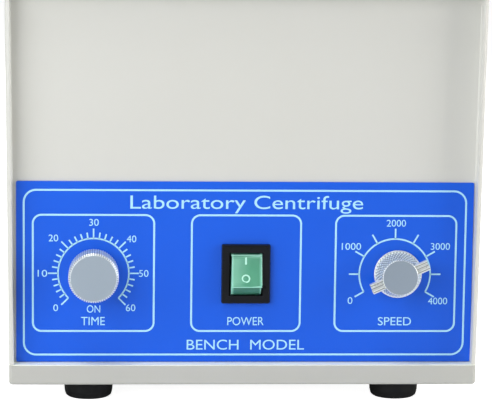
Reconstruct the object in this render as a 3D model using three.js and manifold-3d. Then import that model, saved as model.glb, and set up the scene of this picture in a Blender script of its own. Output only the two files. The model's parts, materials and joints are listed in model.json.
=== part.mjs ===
// Bench centrifuge with a hinged lid, a six-place fixed-angle rotor and a front control panel.
// Millimetres. +X is the operator's right, the front faces -Y, +Z is up.
// The origin is the middle of the whole machine's footprint, at the bottom of its feet.

import * as THREE from 'three';
import { mergeVertices } from 'three/addons/utils/BufferGeometryUtils.js';
import Module from 'manifold-3d';

const wasm = await Module();
wasm.setup();

// ---- driving dimensions -------------------------------------------------------------------

const GAP = 0.3; // air left between touching pieces
const WALL = 3; // moulded casing wall
const SIDES = { small: 12, medium: 16, large: 24, bowl: 32 }; // facets round each size of circle

// Casing: a square moulded shell on a shallow pan, wider at the top by its draft.
const HALF_DEPTH = 125;
const HALF_WIDTH_LOW = 122.9;
const HALF_WIDTH_HIGH = 125;
const CORNER = 3;
const CORNER_INSIDE = 1;
const PAN_LOW = 9.7;
const PAN_HIGH = 20.4;
const PAN_FLOOR = 2.5;
const SHELL_LOW = PAN_HIGH + GAP;
const SHELL_HIGH = 224.3;
const CHEEK = 2.5; // side cheeks that frame the recessed front wall
const RECESS = 8;
const RECESS_HIGH = 213.8;
const SHELF = 2.5; // roof of the recess, under the latch
const FRONT_FACE = -HALF_DEPTH + RECESS; // outside of the recessed front wall
const FRONT_INSIDE = FRONT_FACE + WALL;
const DECK_THICK = 3;
const DECK_LOW = SHELL_HIGH + GAP;
const DECK_HIGH = DECK_LOW + DECK_THICK;

// Control panel: a printed overlay and the centres of what is set in it.
const LABEL_HALF = 120.1;
const LABEL_LOW = 21.3;
const LABEL_HIGH = 116.6;
const LABEL_THICK = 0.4;
const LABEL_FACE = FRONT_FACE - GAP - LABEL_THICK;
const DIAL_Z = 67.8;
const TIMER_X = -78.9;
const SPEED_X = 81.1;
const SWITCH_X = 0.8;
const SHAFT_R = 3; // timer and speed control spindles
const SPINDLE_BUSH_R = 5; // threaded bush hole in the front wall

const TIMER_KNOB = { radius: 13.1, length: 15.7, chamfer: 0.9 };
const SPEED_KNOB = { base: 12.65, face: 9.1, flange: 1.3, length: 12.2 };
const BAR = { length: 32.4, width: 5.5, thick: 3, depth: 8 }; // pointer bar through the speed knob
const BAR_ANGLE = 24; // degrees above the horizontal, right-hand end
const FRONT_REACH = -LABEL_FACE + GAP + TIMER_KNOB.length; // the timer knob is the foremost piece

// Rocker switch: the rocker turns about a cross pivot inside the black body.
const BEZEL = { halfX: 12.8, halfZ: 15.7, thick: 2.4 };
const SWITCH_BODY = { halfX: 10.8, halfZ: 13.9, depth: 25 };
const ROCKER = { halfX: 8.25, radius: 12.3, ridge: 42.5, tilt: 12.8 };
const PIVOT_DEPTH = 7; // from the bezel's front to the pivot
const BEZEL_FRONT = LABEL_FACE - GAP - BEZEL.thick;
const PIVOT_Y = BEZEL_FRONT + PIVOT_DEPTH;

// Chamber bowl and the lid over it.
const BOWL_R = 100;
const BOWL_WALL = 1.5;
const BOWL_FLANGE_R = 106;
const BOWL_LOW = 133;
const BOWL_FLANGE_LOW = DECK_HIGH + GAP;
const BOWL_HIGH = BOWL_FLANGE_LOW + 1.4;
const BOWL_HOLE_R = 14;
const LID_LOW = DECK_HIGH + 0.6;
const LID_HIGH = 253.3;
const LID_DRAFT = 3; // each side leans in by this much from bottom to top
const LID_HALF_X = 124.6;
const LID_HALF_Y = 124.6;
const LINER_LOW = 232.3;
const LINER_THICK = 2;
const LINER_INSET = 1.5; // the lid's inner walls lean in by this much at the liner
const WINDOW_HOLE_R = 46;
const WINDOW_R = 50;
const WINDOW_THICK = 3;

// Lid hinges at the back and a quarter-turn latch at the front.
const KNUCKLE_R = 4;
const HINGE_PIN_R = 2;
const HINGE_X = 70;
const HINGE_Y = FRONT_REACH - KNUCKLE_R; // so that the footprint is centred on the origin
const HINGE_Z = 228.9;
const LATCH_Y = -113.5;
const LATCH_SHAFT_R = 3;
const CAM_REACH = 10;

// Rotor: a dished plate with six slanted tube sleeves.
const SHAFT_R_MOTOR = 4;
const BORE_CLEAR = 0.3;
const SLEEVE_COUNT = 6;
const SLEEVE_TILT = 35; // degrees from the vertical
const SLEEVE_R = 12.5;
const SLEEVE_BORE_R = 11.2;
const SLEEVE_COLLAR_R = 14.5;
const SLEEVE_DEPTH = 78;
const SLEEVE_SEAT = { radius: 41, height: 212 };
const DISH_RIM_R = 57;
const DISH_THICK = 7;
const HUB_LOW = 168;
const HUB_HIGH = 205;

// Motor, hung on a plate that stands on three rubber dampers.
const PLATE_LOW = 44;
const PLATE_THICK = 3;
const PLATE_HALF = 72;
const DAMPER_RADIUS = 62;
const CAN_R = 37;
const CAN_LOW = PLATE_LOW + PLATE_THICK + GAP;
const CAN_HIGH = 118;
const BEARING_R = 11;
const BEARING_THICK = 6;
const LOWER_BEARING_LOW = 51;
const UPPER_BEARING_LOW = 109.5;
const SHAFT_LOW = 30;
const SHAFT_HIGH = 213;

// Feet.
const FOOT_X = 81.5;
const FOOT_Y = 105;
const FOOT_R = 13;

// Rear panel.
const REAR_OPENING = { halfX: 84, low: 32, high: 118 };
const REAR_PANEL = { halfX: 92, low: 25, high: 125, thick: 1.5 };
const REAR_FACE = HALF_DEPTH + GAP + REAR_PANEL.thick;
const INLET = { x: -58, z: 58 };
const FUSE = { x: -58, z: 98 };

// ---- shape helpers ------------------------------------------------------------------------

const radians = THREE.MathUtils.degToRad;

// A closed manifold solid from a three.js geometry, with its faces turned outwards.
function solid(geometry) {
  const bare = geometry.clone();
  bare.deleteAttribute('normal');
  bare.deleteAttribute('uv');
  const merged = mergeVertices(bare, 1e-4);
  const corners = merged.index.array;
  const kept = [];
  for (let i = 0; i < corners.length; i += 3) {
    const [a, b, c] = corners.slice(i, i + 3);
    if (a !== b && b !== c && c !== a) kept.push(a, b, c);
  }
  const place = merged.attributes.position;
  if (signedVolume(place, kept) < 0) kept.reverse();
  return new wasm.Manifold(new wasm.Mesh({
    numProp: 3,
    vertProperties: Float32Array.from(place.array),
    triVerts: Uint32Array.from(kept),
  }));
}

function signedVolume(place, corners) {
  const [a, b, c] = [new THREE.Vector3(), new THREE.Vector3(), new THREE.Vector3()];
  let sum = 0;
  for (let i = 0; i < corners.length; i += 3) {
    a.fromBufferAttribute(place, corners[i]);
    b.fromBufferAttribute(place, corners[i + 1]);
    c.fromBufferAttribute(place, corners[i + 2]);
    sum += a.dot(b.cross(c));
  }
  return sum;
}

function geometryOf(body) {
  const mesh = body.getMesh();
  const geometry = new THREE.BufferGeometry();
  geometry.setAttribute('position', new THREE.BufferAttribute(mesh.vertProperties, 3));
  geometry.setIndex(new THREE.BufferAttribute(mesh.triVerts, 1));
  geometry.computeVertexNormals();
  return geometry;
}

function joined(first, ...others) {
  return others.reduce((whole, other) => whole.add(other), first);
}

function cut(first, ...others) {
  return others.reduce((whole, other) => whole.subtract(other), first);
}

// A box between two corners.
function block([x0, y0, z0], [x1, y1, z1]) {
  const geometry = new THREE.BoxGeometry(x1 - x0, y1 - y0, z1 - z0);
  return geometry.translate((x0 + x1) / 2, (y0 + y1) / 2, (z0 + z1) / 2);
}

// A solid of revolution about Z from [radius, height] points.
// The outline starts and ends on the axis, or closes on itself where closed is true.
function turned(outline, sides = SIDES.large, closed = false) {
  const points = outline.map(([radius, height]) => new THREE.Vector2(radius, height));
  if (closed) points.push(points[0].clone());
  return new THREE.LatheGeometry(points, sides).rotateX(Math.PI / 2);
}

function rod(radius, low, high, sides = SIDES.medium) {
  return turned([[0, low], [radius, low], [radius, high], [0, high]], sides);
}

function tube(inner, outer, low, high, sides = SIDES.large) {
  return turned([[inner, low], [outer, low], [outer, high], [inner, high]], sides, true);
}

// Turns a shape whose axis is Z so that its top faces the front.
function toFront(geometry, x, z) {
  return geometry.rotateX(Math.PI / 2).translate(x, 0, z);
}

function roundedRectangle(halfX, halfY, radius) {
  const shape = new THREE.Shape();
  const [x, y] = [halfX - radius, halfY - radius];
  shape.absarc(x, y, radius, 0, Math.PI / 2);
  shape.absarc(-x, y, radius, Math.PI / 2, Math.PI);
  shape.absarc(-x, -y, radius, Math.PI, Math.PI * 1.5);
  shape.absarc(x, -y, radius, Math.PI * 1.5, Math.PI * 2);
  return shape;
}

// A rounded rectangular block, each side moved out from bottom to top by spreadX and spreadY.
function slab(halfX, halfY, radius, low, high, spreadX = 0, spreadY = 0) {
  const shape = roundedRectangle(halfX, halfY, radius);
  const options = { depth: high - low, bevelEnabled: false, curveSegments: 3 };
  const geometry = new THREE.ExtrudeGeometry(shape, options);
  const place = geometry.attributes.position;
  for (let i = 0; i < place.count; i++) {
    const share = place.getZ(i) / (high - low);
    place.setX(i, place.getX(i) * (1 + share * spreadX / halfX));
    place.setY(i, place.getY(i) * (1 + share * spreadY / halfY));
  }
  return geometry.translate(0, 0, low);
}

// An outline of [y, z] points extruded along X.
function acrossX(outline, x0, x1) {
  const shape = new THREE.Shape(outline.map(([y, z]) => new THREE.Vector2(y, z)));
  const geometry = new THREE.ExtrudeGeometry(shape, { depth: x1 - x0, bevelEnabled: false });
  const basis = new THREE.Matrix4().makeBasis(
    new THREE.Vector3(0, 1, 0), new THREE.Vector3(0, 0, 1), new THREE.Vector3(1, 0, 0));
  return geometry.applyMatrix4(basis).translate(x0, 0, 0);
}

// ---- materials ----------------------------------------------------------------------------

function finish(color, roughness, metalness = 0) {
  return new THREE.MeshStandardMaterial({ color, roughness, metalness });
}

const look = {
  casing: finish('#dddcd6', 0.45),
  overlay: finish('#2f69e6', 0.35),
  steel: finish('#b9bcc0', 0.35, 1),
  aluminium: finish('#a9b2ba', 0.4, 1),
  zinc: finish('#8f969b', 0.3, 1),
  rubber: finish('#131518', 0.8),
  black: finish('#0b0c0e', 0.25),
  rocker: finish('#5fb98c', 0.2),
  clear: finish('#dfe9ea', 0.05),
  copper: finish('#a5673a', 0.4, 1),
  board: finish('#1d6a3c', 0.5),
};
look.clear.transparent = true;
look.clear.opacity = 0.35;

const centrifuge = new THREE.Group();

function addPart(name, body, material, parent = centrifuge) {
  const mesh = new THREE.Mesh(body.isBufferGeometry ? body : geometryOf(body), material);
  mesh.name = name;
  parent.add(mesh);
  return mesh;
}

// ---- casing -------------------------------------------------------------------------------

function halfWidthAt(z) {
  const share = (z - SHELL_LOW) / (SHELL_HIGH - SHELL_LOW);
  return HALF_WIDTH_LOW + share * (HALF_WIDTH_HIGH - HALF_WIDTH_LOW);
}

// The shell: four drafted walls, the front one set back between two cheeks.
function housingShell() {
  const spread = HALF_WIDTH_HIGH - HALF_WIDTH_LOW;
  const outside = solid(slab(HALF_WIDTH_LOW, HALF_DEPTH, CORNER, SHELL_LOW, SHELL_HIGH, spread));
  const insideHalfDepth = (HALF_DEPTH - WALL - FRONT_INSIDE) / 2;
  const inside = slab(
    HALF_WIDTH_LOW - WALL, insideHalfDepth, CORNER_INSIDE, SHELL_LOW, SHELL_HIGH, spread);
  inside.scale(1, 1, 1.01).translate(0, (HALF_DEPTH - WALL + FRONT_INSIDE) / 2, -1.2);
  const frontHalf = [halfWidthAt(SHELL_LOW) - CHEEK, halfWidthAt(RECESS_HIGH) - CHEEK];
  const recess = slab(frontHalf[0], 10, 0.2, SHELL_LOW - 1, RECESS_HIGH, frontHalf[1] - frontHalf[0]);
  recess.translate(0, FRONT_FACE - 10, 0);
  const headroom = block(
    [WALL + 1.6 - HALF_WIDTH_HIGH, WALL - HALF_DEPTH, RECESS_HIGH + SHELF],
    [HALF_WIDTH_HIGH - WALL - 1.6, FRONT_INSIDE + 1, SHELL_HIGH + 1]);
  const { halfX, low, high } = REAR_OPENING;
  const rear = block([-halfX, HALF_DEPTH - 10, low], [halfX, HALF_DEPTH + 1, high]);
  const hollows = [inside, recess, headroom, rear].map(solid);
  return cut(outside, ...hollows, ...frontHoles(0.4), ...sideVents());
}

// Holes for the switch and the two spindles, through the front wall or the overlay.
function frontHoles(clearance) {
  const { halfX, halfZ } = SWITCH_BODY;
  const [x, z] = [halfX + clearance, halfZ + clearance];
  const back = FRONT_INSIDE + 1;
  const front = -HALF_DEPTH - 1;
  const opening = block([SWITCH_X - x, front, DIAL_Z - z], [SWITCH_X + x, back, DIAL_Z + z]);
  const bushes = [TIMER_X, SPEED_X].map(
    (bushX) => toFront(rod(SPINDLE_BUSH_R, -back, -front), bushX, DIAL_Z));
  return [opening, ...bushes].map(solid);
}

// Five cooling slots in each side wall, low and towards the back.
function sideVents() {
  const vents = [];
  for (const side of [-1, 1]) {
    for (let row = 0; row < 5; row++) {
      const low = 40 + row * 9;
      const [near, far] = [side * 110, side * 140];
      vents.push(block([Math.min(near, far), 10, low], [Math.max(near, far), 90, low + 4]));
    }
  }
  return vents.map(solid);
}

// Shallow tray with a ledge along its front edge, on which the recessed front wall stands.
function basePan() {
  const outside = solid(slab(HALF_WIDTH_LOW, HALF_DEPTH, CORNER, PAN_LOW, PAN_HIGH));
  const inside = slab(
    HALF_WIDTH_LOW - 2, HALF_DEPTH - 2, CORNER_INSIDE, PAN_LOW + PAN_FLOOR, PAN_HIGH + 1);
  const vents = [];
  for (let row = -3; row <= 3; row++) {
    vents.push(solid(block([-24, row * 8 - 2, PAN_LOW - 1], [24, row * 8 + 2, PAN_LOW + 5])));
  }
  const ledge = block(
    [2.6 - HALF_WIDTH_LOW, 1.4 - HALF_DEPTH, PAN_HIGH - 2.5],
    [HALF_WIDTH_LOW - 2.6, FRONT_INSIDE + 1, PAN_HIGH]);
  return joined(cut(outside, solid(inside), ...vents), solid(ledge));
}

function topDeck() {
  const plate = solid(slab(HALF_WIDTH_HIGH - 0.6, HALF_DEPTH - 0.6, CORNER, DECK_LOW, DECK_HIGH));
  const mouth = solid(rod(BOWL_R + BOWL_WALL + 0.5, DECK_LOW - 1, DECK_HIGH + 1, SIDES.bowl));
  return cut(plate, mouth, solid(camSlot(DECK_LOW - 1, DECK_HIGH + 1)));
}

function rearPanel() {
  const { halfX, low, high, thick } = REAR_PANEL;
  const [inner, outer] = [HALF_DEPTH + GAP, HALF_DEPTH + GAP + thick];
  const openings = [
    block([INLET.x - 14, inner - 1, INLET.z - 10.3], [INLET.x + 14, outer + 1, INLET.z + 10.3]),
    toFront(rod(6.6, -outer - 1, -inner + 1), FUSE.x, FUSE.z),
  ];
  for (let row = 0; row < 8; row++) {
    const z = 43 + row * 8;
    openings.push(block([-12, inner - 1, z], [72, outer + 1, z + 3.5]));
  }
  return cut(solid(block([-halfX, inner, low], [halfX, outer, high])), ...openings.map(solid));
}

function foot() {
  return turned([
    [0, 0], [FOOT_R - 2.4, 0], [FOOT_R - 0.9, 1], [FOOT_R - 0.4, 2.6],
    [FOOT_R, PAN_LOW - GAP], [0, PAN_LOW - GAP],
  ], SIDES.medium);
}

addPart('base_pan', basePan(), look.casing);
addPart('housing_shell', housingShell(), look.casing);
addPart('top_deck', topDeck(), look.casing);
addPart('rear_panel', rearPanel(), look.casing);
for (const [side, sign] of [['left', -1], ['right', 1]]) {
  addPart(`foot_front_${side}`, foot(), look.rubber).position.set(sign * FOOT_X, -FOOT_Y, 0);
  addPart(`foot_rear_${side}`, foot(), look.rubber).position.set(sign * FOOT_X, FOOT_Y, 0);
}

// ---- control panel ------------------------------------------------------------------------

function controlLabel() {
  const sheet = block(
    [-LABEL_HALF, LABEL_FACE, LABEL_LOW], [LABEL_HALF, LABEL_FACE + LABEL_THICK, LABEL_HIGH]);
  return cut(solid(sheet), ...frontHoles(0.4));
}

// A knob turned from [radius, height above the overlay] points, with a blind hole for its spindle.
function knob(outline, x, holeDepth) {
  const base = -LABEL_FACE + GAP;
  const raised = outline.map(([radius, height]) => [radius, base + height]);
  const body = toFront(turned(raised, SIDES.large), x, DIAL_Z);
  const hole = toFront(rod(SHAFT_R + GAP, base - 1, base + holeDepth + GAP, SIDES.small), x, DIAL_Z);
  return cut(solid(body), solid(hole));
}

function timerKnob() {
  const { radius, length, chamfer } = TIMER_KNOB;
  return knob([
    [0, 0], [radius - chamfer, 0], [radius, chamfer], [radius, length - chamfer],
    [radius - chamfer, length], [0, length],
  ], TIMER_X, SPINDLE_OUT);
}

function speedKnob() {
  const { base, face, flange, length } = SPEED_KNOB;
  const body = knob([
    [0, 0], [base, 0], [base, flange], [face + 0.5, length - 0.6], [face, length], [0, length],
  ], SPEED_X, SPEED_SPINDLE_OUT);
  return cut(body, solid(pointerBar(40, BAR.width + 2 * GAP, BAR.thick + 2 * GAP)));
}

// The flat bar through the speed knob, at its place and angle.
function pointerBar(length, width, thick) {
  const middle = LABEL_FACE - GAP - BAR.depth - BAR.thick / 2;
  const bar = block(
    [-length / 2, middle - thick / 2, -width / 2], [length / 2, middle + thick / 2, width / 2]);
  return bar.rotateY(-radians(BAR_ANGLE)).translate(SPEED_X, 0, DIAL_Z);
}

const SPINDLE_OUT = 11; // how far the timer spindle goes up inside its knob
const SPEED_SPINDLE_OUT = 5;
const SPINDLE_IN = 12; // how far each spindle goes into its control

function spindle(out, x) {
  return toFront(rod(SHAFT_R, -FRONT_INSIDE - SPINDLE_IN, -LABEL_FACE + GAP + out, SIDES.small), x, DIAL_Z);
}

// Hole in a control's front for its spindle.
function spindleHole(x) {
  return solid(toFront(
    rod(SHAFT_R + GAP, -FRONT_INSIDE - SPINDLE_IN - GAP, -LABEL_FACE + 1, SIDES.small), x, DIAL_Z));
}

function timerBody() {
  const near = FRONT_INSIDE + GAP;
  const gearcase = block([TIMER_X - 21, near, DIAL_Z - 21], [TIMER_X + 21, near + 32, DIAL_Z + 21]);
  const bush = toFront(rod(SPINDLE_BUSH_R - GAP, -near - 1, -LABEL_FACE - 0.4), TIMER_X, DIAL_Z);
  return cut(joined(solid(gearcase), solid(bush)), spindleHole(TIMER_X));
}

function speedPot() {
  const near = FRONT_INSIDE + GAP;
  const can = toFront(rod(12, -near - 18, -near), SPEED_X, DIAL_Z);
  const bush = toFront(rod(SPINDLE_BUSH_R - GAP, -near - 1, -LABEL_FACE - 0.4), SPEED_X, DIAL_Z);
  const tags = block([SPEED_X - 8, near + 6, DIAL_Z - 19], [SPEED_X + 8, near + 7.5, DIAL_Z - 8]);
  return cut(joined(solid(can), solid(bush), solid(tags)), spindleHole(SPEED_X));
}

function crossCylinder(radius, halfX) {
  const cylinder = rod(radius, -halfX, halfX, SIDES.bowl);
  return solid(cylinder.rotateY(Math.PI / 2).translate(SWITCH_X, PIVOT_Y, DIAL_Z));
}

function switchBody() {
  const frame = block(
    [SWITCH_X - BEZEL.halfX, BEZEL_FRONT, DIAL_Z - BEZEL.halfZ],
    [SWITCH_X + BEZEL.halfX, BEZEL_FRONT + BEZEL.thick, DIAL_Z + BEZEL.halfZ]);
  const { halfX, halfZ, depth } = SWITCH_BODY;
  const body = block(
    [SWITCH_X - halfX, BEZEL_FRONT + 1, DIAL_Z - halfZ],
    [SWITCH_X + halfX, BEZEL_FRONT + depth, DIAL_Z + halfZ]);
  const mouth = block(
    [SWITCH_X - ROCKER.halfX - 0.7, BEZEL_FRONT - 1, DIAL_Z - 11.4],
    [SWITCH_X + ROCKER.halfX + 0.7, BEZEL_FRONT + 1.4, DIAL_Z + 11.4]);
  const well = crossCylinder(ROCKER.radius + 0.4, ROCKER.halfX + GAP);
  const back = BEZEL_FRONT + depth;
  const tabs = [-6, 0, 6].map((x) => solid(block(
    [SWITCH_X + x - 0.5, back - 1, DIAL_Z - 3], [SWITCH_X + x + 0.5, back + 8, DIAL_Z + 3])));
  return cut(joined(solid(frame), solid(body), ...tabs), solid(mouth), well);
}

// The rocker's side view: two arcs about the pivot, a hollowed face between their ridges
// and a flat back. It lies with its upper half pushed in.
function switchRocker() {
  const { radius, ridge, tilt, halfX } = ROCKER;
  const outline = [];
  const steps = 6;
  const backAngle = 100;
  const point = (angle, r = radius) => [
    PIVOT_Y - r * Math.cos(radians(angle)), DIAL_Z + r * Math.sin(radians(angle)),
  ];
  for (let i = 0; i <= steps; i++) {
    outline.push(point(backAngle + (ridge - backAngle) * i / steps + tilt));
  }
  const faceReach = radius * Math.cos(radians(ridge));
  outline.push(point(tilt + 18, faceReach - 0.35), point(tilt, faceReach - 0.9));
  outline.push(point(tilt - 18, faceReach - 0.35));
  for (let i = 0; i <= steps; i++) {
    outline.push(point(-ridge + (ridge - backAngle) * i / steps + tilt));
  }
  return acrossX(outline, SWITCH_X - halfX, SWITCH_X + halfX);
}

addPart('control_label', controlLabel(), look.overlay);
addPart('timer_body', timerBody(), look.black);
addPart('timer_shaft', spindle(SPINDLE_OUT, TIMER_X), look.steel);
addPart('timer_knob', timerKnob(), look.aluminium);
addPart('speed_control', speedPot(), look.steel);
addPart('speed_shaft', spindle(SPEED_SPINDLE_OUT, SPEED_X), look.steel);
addPart('speed_knob', speedKnob(), look.aluminium);
addPart('knob_pointer_bar', pointerBar(BAR.length, BAR.width, BAR.thick), look.zinc);
addPart('switch_body', switchBody(), look.black);
addPart('switch_rocker', switchRocker(), look.rocker);

// ---- chamber ------------------------------------------------------------------------------

function chamberBowl() {
  const outer = BOWL_R + BOWL_WALL;
  const low = BOWL_LOW;
  return turned([
    [BOWL_HOLE_R, low], [outer - 8, low], [outer - 2.3, low + 2.4], [outer, low + 8],
    [outer, BOWL_FLANGE_LOW], [BOWL_FLANGE_R, BOWL_FLANGE_LOW], [BOWL_FLANGE_R, BOWL_HIGH],
    [BOWL_R, BOWL_HIGH], [BOWL_R, low + 9], [BOWL_R - 2.3, low + 3.9],
    [BOWL_R - 8, low + BOWL_WALL], [BOWL_HOLE_R, low + BOWL_WALL],
  ], SIDES.bowl, true);
}

// Rubber grommet that closes the bowl round the motor shaft.
function shaftSeal() {
  const inner = SHAFT_R_MOTOR + 0.6;
  return turned([
    [inner, BOWL_LOW - 4], [BOWL_HOLE_R + 4, BOWL_LOW - 4], [BOWL_HOLE_R + 4, BOWL_LOW - GAP],
    [BOWL_HOLE_R - GAP, BOWL_LOW - GAP], [BOWL_HOLE_R - GAP, BOWL_LOW + 4], [inner, BOWL_LOW + 6],
  ], SIDES.medium, true);
}

addPart('chamber_bowl', chamberBowl(), look.steel);
addPart('shaft_seal', shaftSeal(), look.rubber);

// ---- lid ----------------------------------------------------------------------------------

function lidShell() {
  const outside = slab(LID_HALF_X, LID_HALF_Y, CORNER, LID_LOW, LID_HIGH, -LID_DRAFT, -LID_DRAFT);
  const inside = slab(
    LID_HALF_X - WALL, LID_HALF_Y - WALL, CORNER_INSIDE, LID_LOW, LID_HIGH, -LID_DRAFT, -LID_DRAFT);
  inside.translate(0, 0, -WALL);
  return cut(solid(outside), solid(inside), ...lidHoles(LID_LOW, LID_HIGH + 1));
}

function lidHoles(low, high) {
  const latch = rod(LATCH_SHAFT_R + GAP, low, high, SIDES.small).translate(0, LATCH_Y, 0);
  return [solid(rod(WINDOW_HOLE_R + GAP, low, high, SIDES.large)), solid(latch)];
}

function lidLiner() {
  const plate = slab(
    LID_HALF_X - WALL - LINER_INSET, LID_HALF_Y - WALL - LINER_INSET, CORNER_INSIDE,
    LINER_LOW, LINER_LOW + LINER_THICK);
  return cut(solid(plate), ...lidHoles(LINER_LOW - 1, LINER_LOW + LINER_THICK + 1));
}

const WINDOW_HIGH = LID_HIGH - WALL - GAP;
const WINDOW_LOW = WINDOW_HIGH - WINDOW_THICK;

// Flanged sleeve from the liner up to the window, which it holds against the lid.
function windowRing() {
  const inner = WINDOW_HOLE_R - 2;
  const flangeLow = LINER_LOW - GAP - 1.2;
  return turned([
    [inner, flangeLow], [WINDOW_HOLE_R + 5, flangeLow], [WINDOW_HOLE_R + 5, LINER_LOW - GAP],
    [WINDOW_HOLE_R, LINER_LOW - GAP], [WINDOW_HOLE_R, WINDOW_LOW - GAP], [inner, WINDOW_LOW - GAP],
  ], SIDES.large, true);
}

addPart('lid_shell', lidShell(), look.casing);
addPart('lid_liner', lidLiner(), look.casing);
addPart('lid_window', rod(WINDOW_R, WINDOW_LOW, WINDOW_HIGH, SIDES.large), look.clear);
addPart('window_ring', windowRing(), look.casing);
addPart('lid_gasket',
  tube(BOWL_R + 2.5, BOWL_FLANGE_R, BOWL_HIGH + GAP, LINER_LOW - GAP, SIDES.bowl), look.rubber);

// Butt hinges: the case leaf has two knuckles and the lid leaf one between them.
const LEAF_THICK = 2;
const LEAF_WIDTH = 40;
const KNUCKLE = 12; // half-length of the middle knuckle

function knuckle(x0, x1) {
  const barrel = rod(KNUCKLE_R, x0, x1, SIDES.small).rotateY(Math.PI / 2);
  return solid(barrel.translate(0, HINGE_Y, HINGE_Z));
}

function pinHole() {
  const hole = rod(HINGE_PIN_R + GAP, -LEAF_WIDTH, LEAF_WIDTH, SIDES.small).rotateY(Math.PI / 2);
  return solid(hole.translate(0, HINGE_Y, HINGE_Z));
}

function caseLeaf() {
  const near = HALF_DEPTH + GAP;
  const half = LEAF_WIDTH / 2;
  const low = 198;
  const high = HINGE_Z - KNUCKLE_R - 0.6;
  const plate = solid(block([-half, near, low], [half, near + LEAF_THICK, high]));
  const arms = [[-half, -KNUCKLE - GAP], [KNUCKLE + GAP, half]].map(([x0, x1]) => joined(
    knuckle(x0, x1),
    solid(acrossX([
      [near, high - 6], [near + LEAF_THICK, high - 6], [HINGE_Y + 2.6, HINGE_Z - 2.8],
      [HINGE_Y, HINGE_Z], [HINGE_Y - 3.9, HINGE_Z - 1], [near, high],
    ], x0, x1))));
  return cut(joined(plate, ...arms), pinHole());
}

// The lid leaf leans in with the lid's back wall.
function lidLeaf() {
  const near = (z) => LID_HALF_Y - LID_DRAFT * (z - LID_LOW) / (LID_HIGH - LID_LOW) + GAP;
  const half = LEAF_WIDTH / 2;
  const low = HINGE_Z + KNUCKLE_R + 0.8;
  const high = LID_HIGH - 5;
  const plate = solid(acrossX([
    [near(low), low], [near(low) + LEAF_THICK, low], [near(high) + LEAF_THICK, high], [near(high), high],
  ], -half, half));
  const arm = solid(acrossX([
    [near(low + 8) + 1, low + 8], [near(low) + 1, low], [HALF_DEPTH + GAP, HINGE_Z + 2],
    [HINGE_Y - 3.9, HINGE_Z], [HINGE_Y, HINGE_Z], [HINGE_Y + 1.6, HINGE_Z + 3.6],
  ], -KNUCKLE, KNUCKLE));
  return cut(joined(plate, arm, knuckle(-KNUCKLE, KNUCKLE)), pinHole());
}

for (const [side, sign] of [['left', -1], ['right', 1]]) {
  const x = sign * HINGE_X;
  addPart(`hinge_case_leaf_${side}`, caseLeaf(), look.steel).position.x = x;
  addPart(`hinge_lid_leaf_${side}`, lidLeaf(), look.steel).position.x = x;
  const pin = rod(HINGE_PIN_R, -LEAF_WIDTH / 2 - 1, LEAF_WIDTH / 2 + 1, SIDES.small).rotateY(Math.PI / 2);
  addPart(`hinge_pin_${side}`, pin, look.steel).position.set(x, HINGE_Y, HINGE_Z);
}

// Quarter-turn latch: the cam hangs under the deck and drops through its slot when it lies along X.
const KEEPER_LOW = DECK_LOW - GAP - 2;
const CAM_HIGH = KEEPER_LOW - 1;

function camSlot(low, high) {
  return block([-5, LATCH_Y - 4, low], [CAM_REACH + 2, LATCH_Y + 4, high]);
}

function latchCam() {
  const shaft = rod(LATCH_SHAFT_R, CAM_HIGH - 4, LID_HIGH + 6, SIDES.small).translate(0, LATCH_Y, 0);
  const arm = block([0, LATCH_Y - 2.6, CAM_HIGH - 4], [CAM_REACH, LATCH_Y + 2.6, CAM_HIGH]);
  return joined(solid(shaft), solid(arm));
}

function latchKnob() {
  const low = LID_HIGH + GAP;
  const disc = rod(9, low, low + 3);
  const grip = block([-8, -2.2, low + 1], [8, 2.2, low + 9]);
  const hole = rod(LATCH_SHAFT_R + GAP, low - 1, LID_HIGH + 6 + GAP, SIDES.small);
  const boss = rod(5.5, low + 1, low + 9);
  const body = cut(joined(solid(disc), solid(grip), solid(boss)), solid(hole));
  return geometryOf(body).translate(0, LATCH_Y, 0);
}

addPart('latch_cam', latchCam(), look.zinc);
addPart('latch_knob', latchKnob(), look.black);
addPart('latch_keeper', cut(
  solid(block([-20, WALL + GAP - HALF_DEPTH, KEEPER_LOW], [24, -BOWL_R - 4.5, DECK_LOW - GAP])),
  solid(camSlot(KEEPER_LOW - 1, DECK_LOW))), look.steel);

// ---- rotor --------------------------------------------------------------------------------

// Moves a shape drawn along a sleeve's own axis, mouth upwards, to sleeve number index.
function toSleeve(geometry, index) {
  return geometry
    .rotateY(-radians(SLEEVE_TILT))
    .translate(SLEEVE_SEAT.radius, 0, SLEEVE_SEAT.height)
    .rotateZ(index * 2 * Math.PI / SLEEVE_COUNT);
}

function rotorBody() {
  const slope = Math.tan(radians(SLEEVE_TILT));
  const dishTop = (radius) => SLEEVE_SEAT.height + (radius - SLEEVE_SEAT.radius) * slope;
  const drop = DISH_THICK / Math.cos(radians(SLEEVE_TILT));
  const bore = SHAFT_R_MOTOR + BORE_CLEAR;
  const dish = turned([
    [bore, HUB_LOW], [15, HUB_LOW], [17, dishTop(17) - drop], [DISH_RIM_R, dishTop(DISH_RIM_R) - drop],
    [DISH_RIM_R, dishTop(DISH_RIM_R)], [11, dishTop(11)], [11, HUB_HIGH], [bore, HUB_HIGH],
  ], SIDES.large, true);
  const cuts = [];
  for (let i = 0; i < SLEEVE_COUNT; i++) {
    cuts.push(solid(toSleeve(rod(SLEEVE_R + GAP, -30, 30, SIDES.small), i)));
    cuts.push(solid(toSleeve(rod(SLEEVE_COLLAR_R + 0.5, 0, 25, SIDES.small), i)));
  }
  return cut(solid(dish), ...cuts);
}

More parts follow.
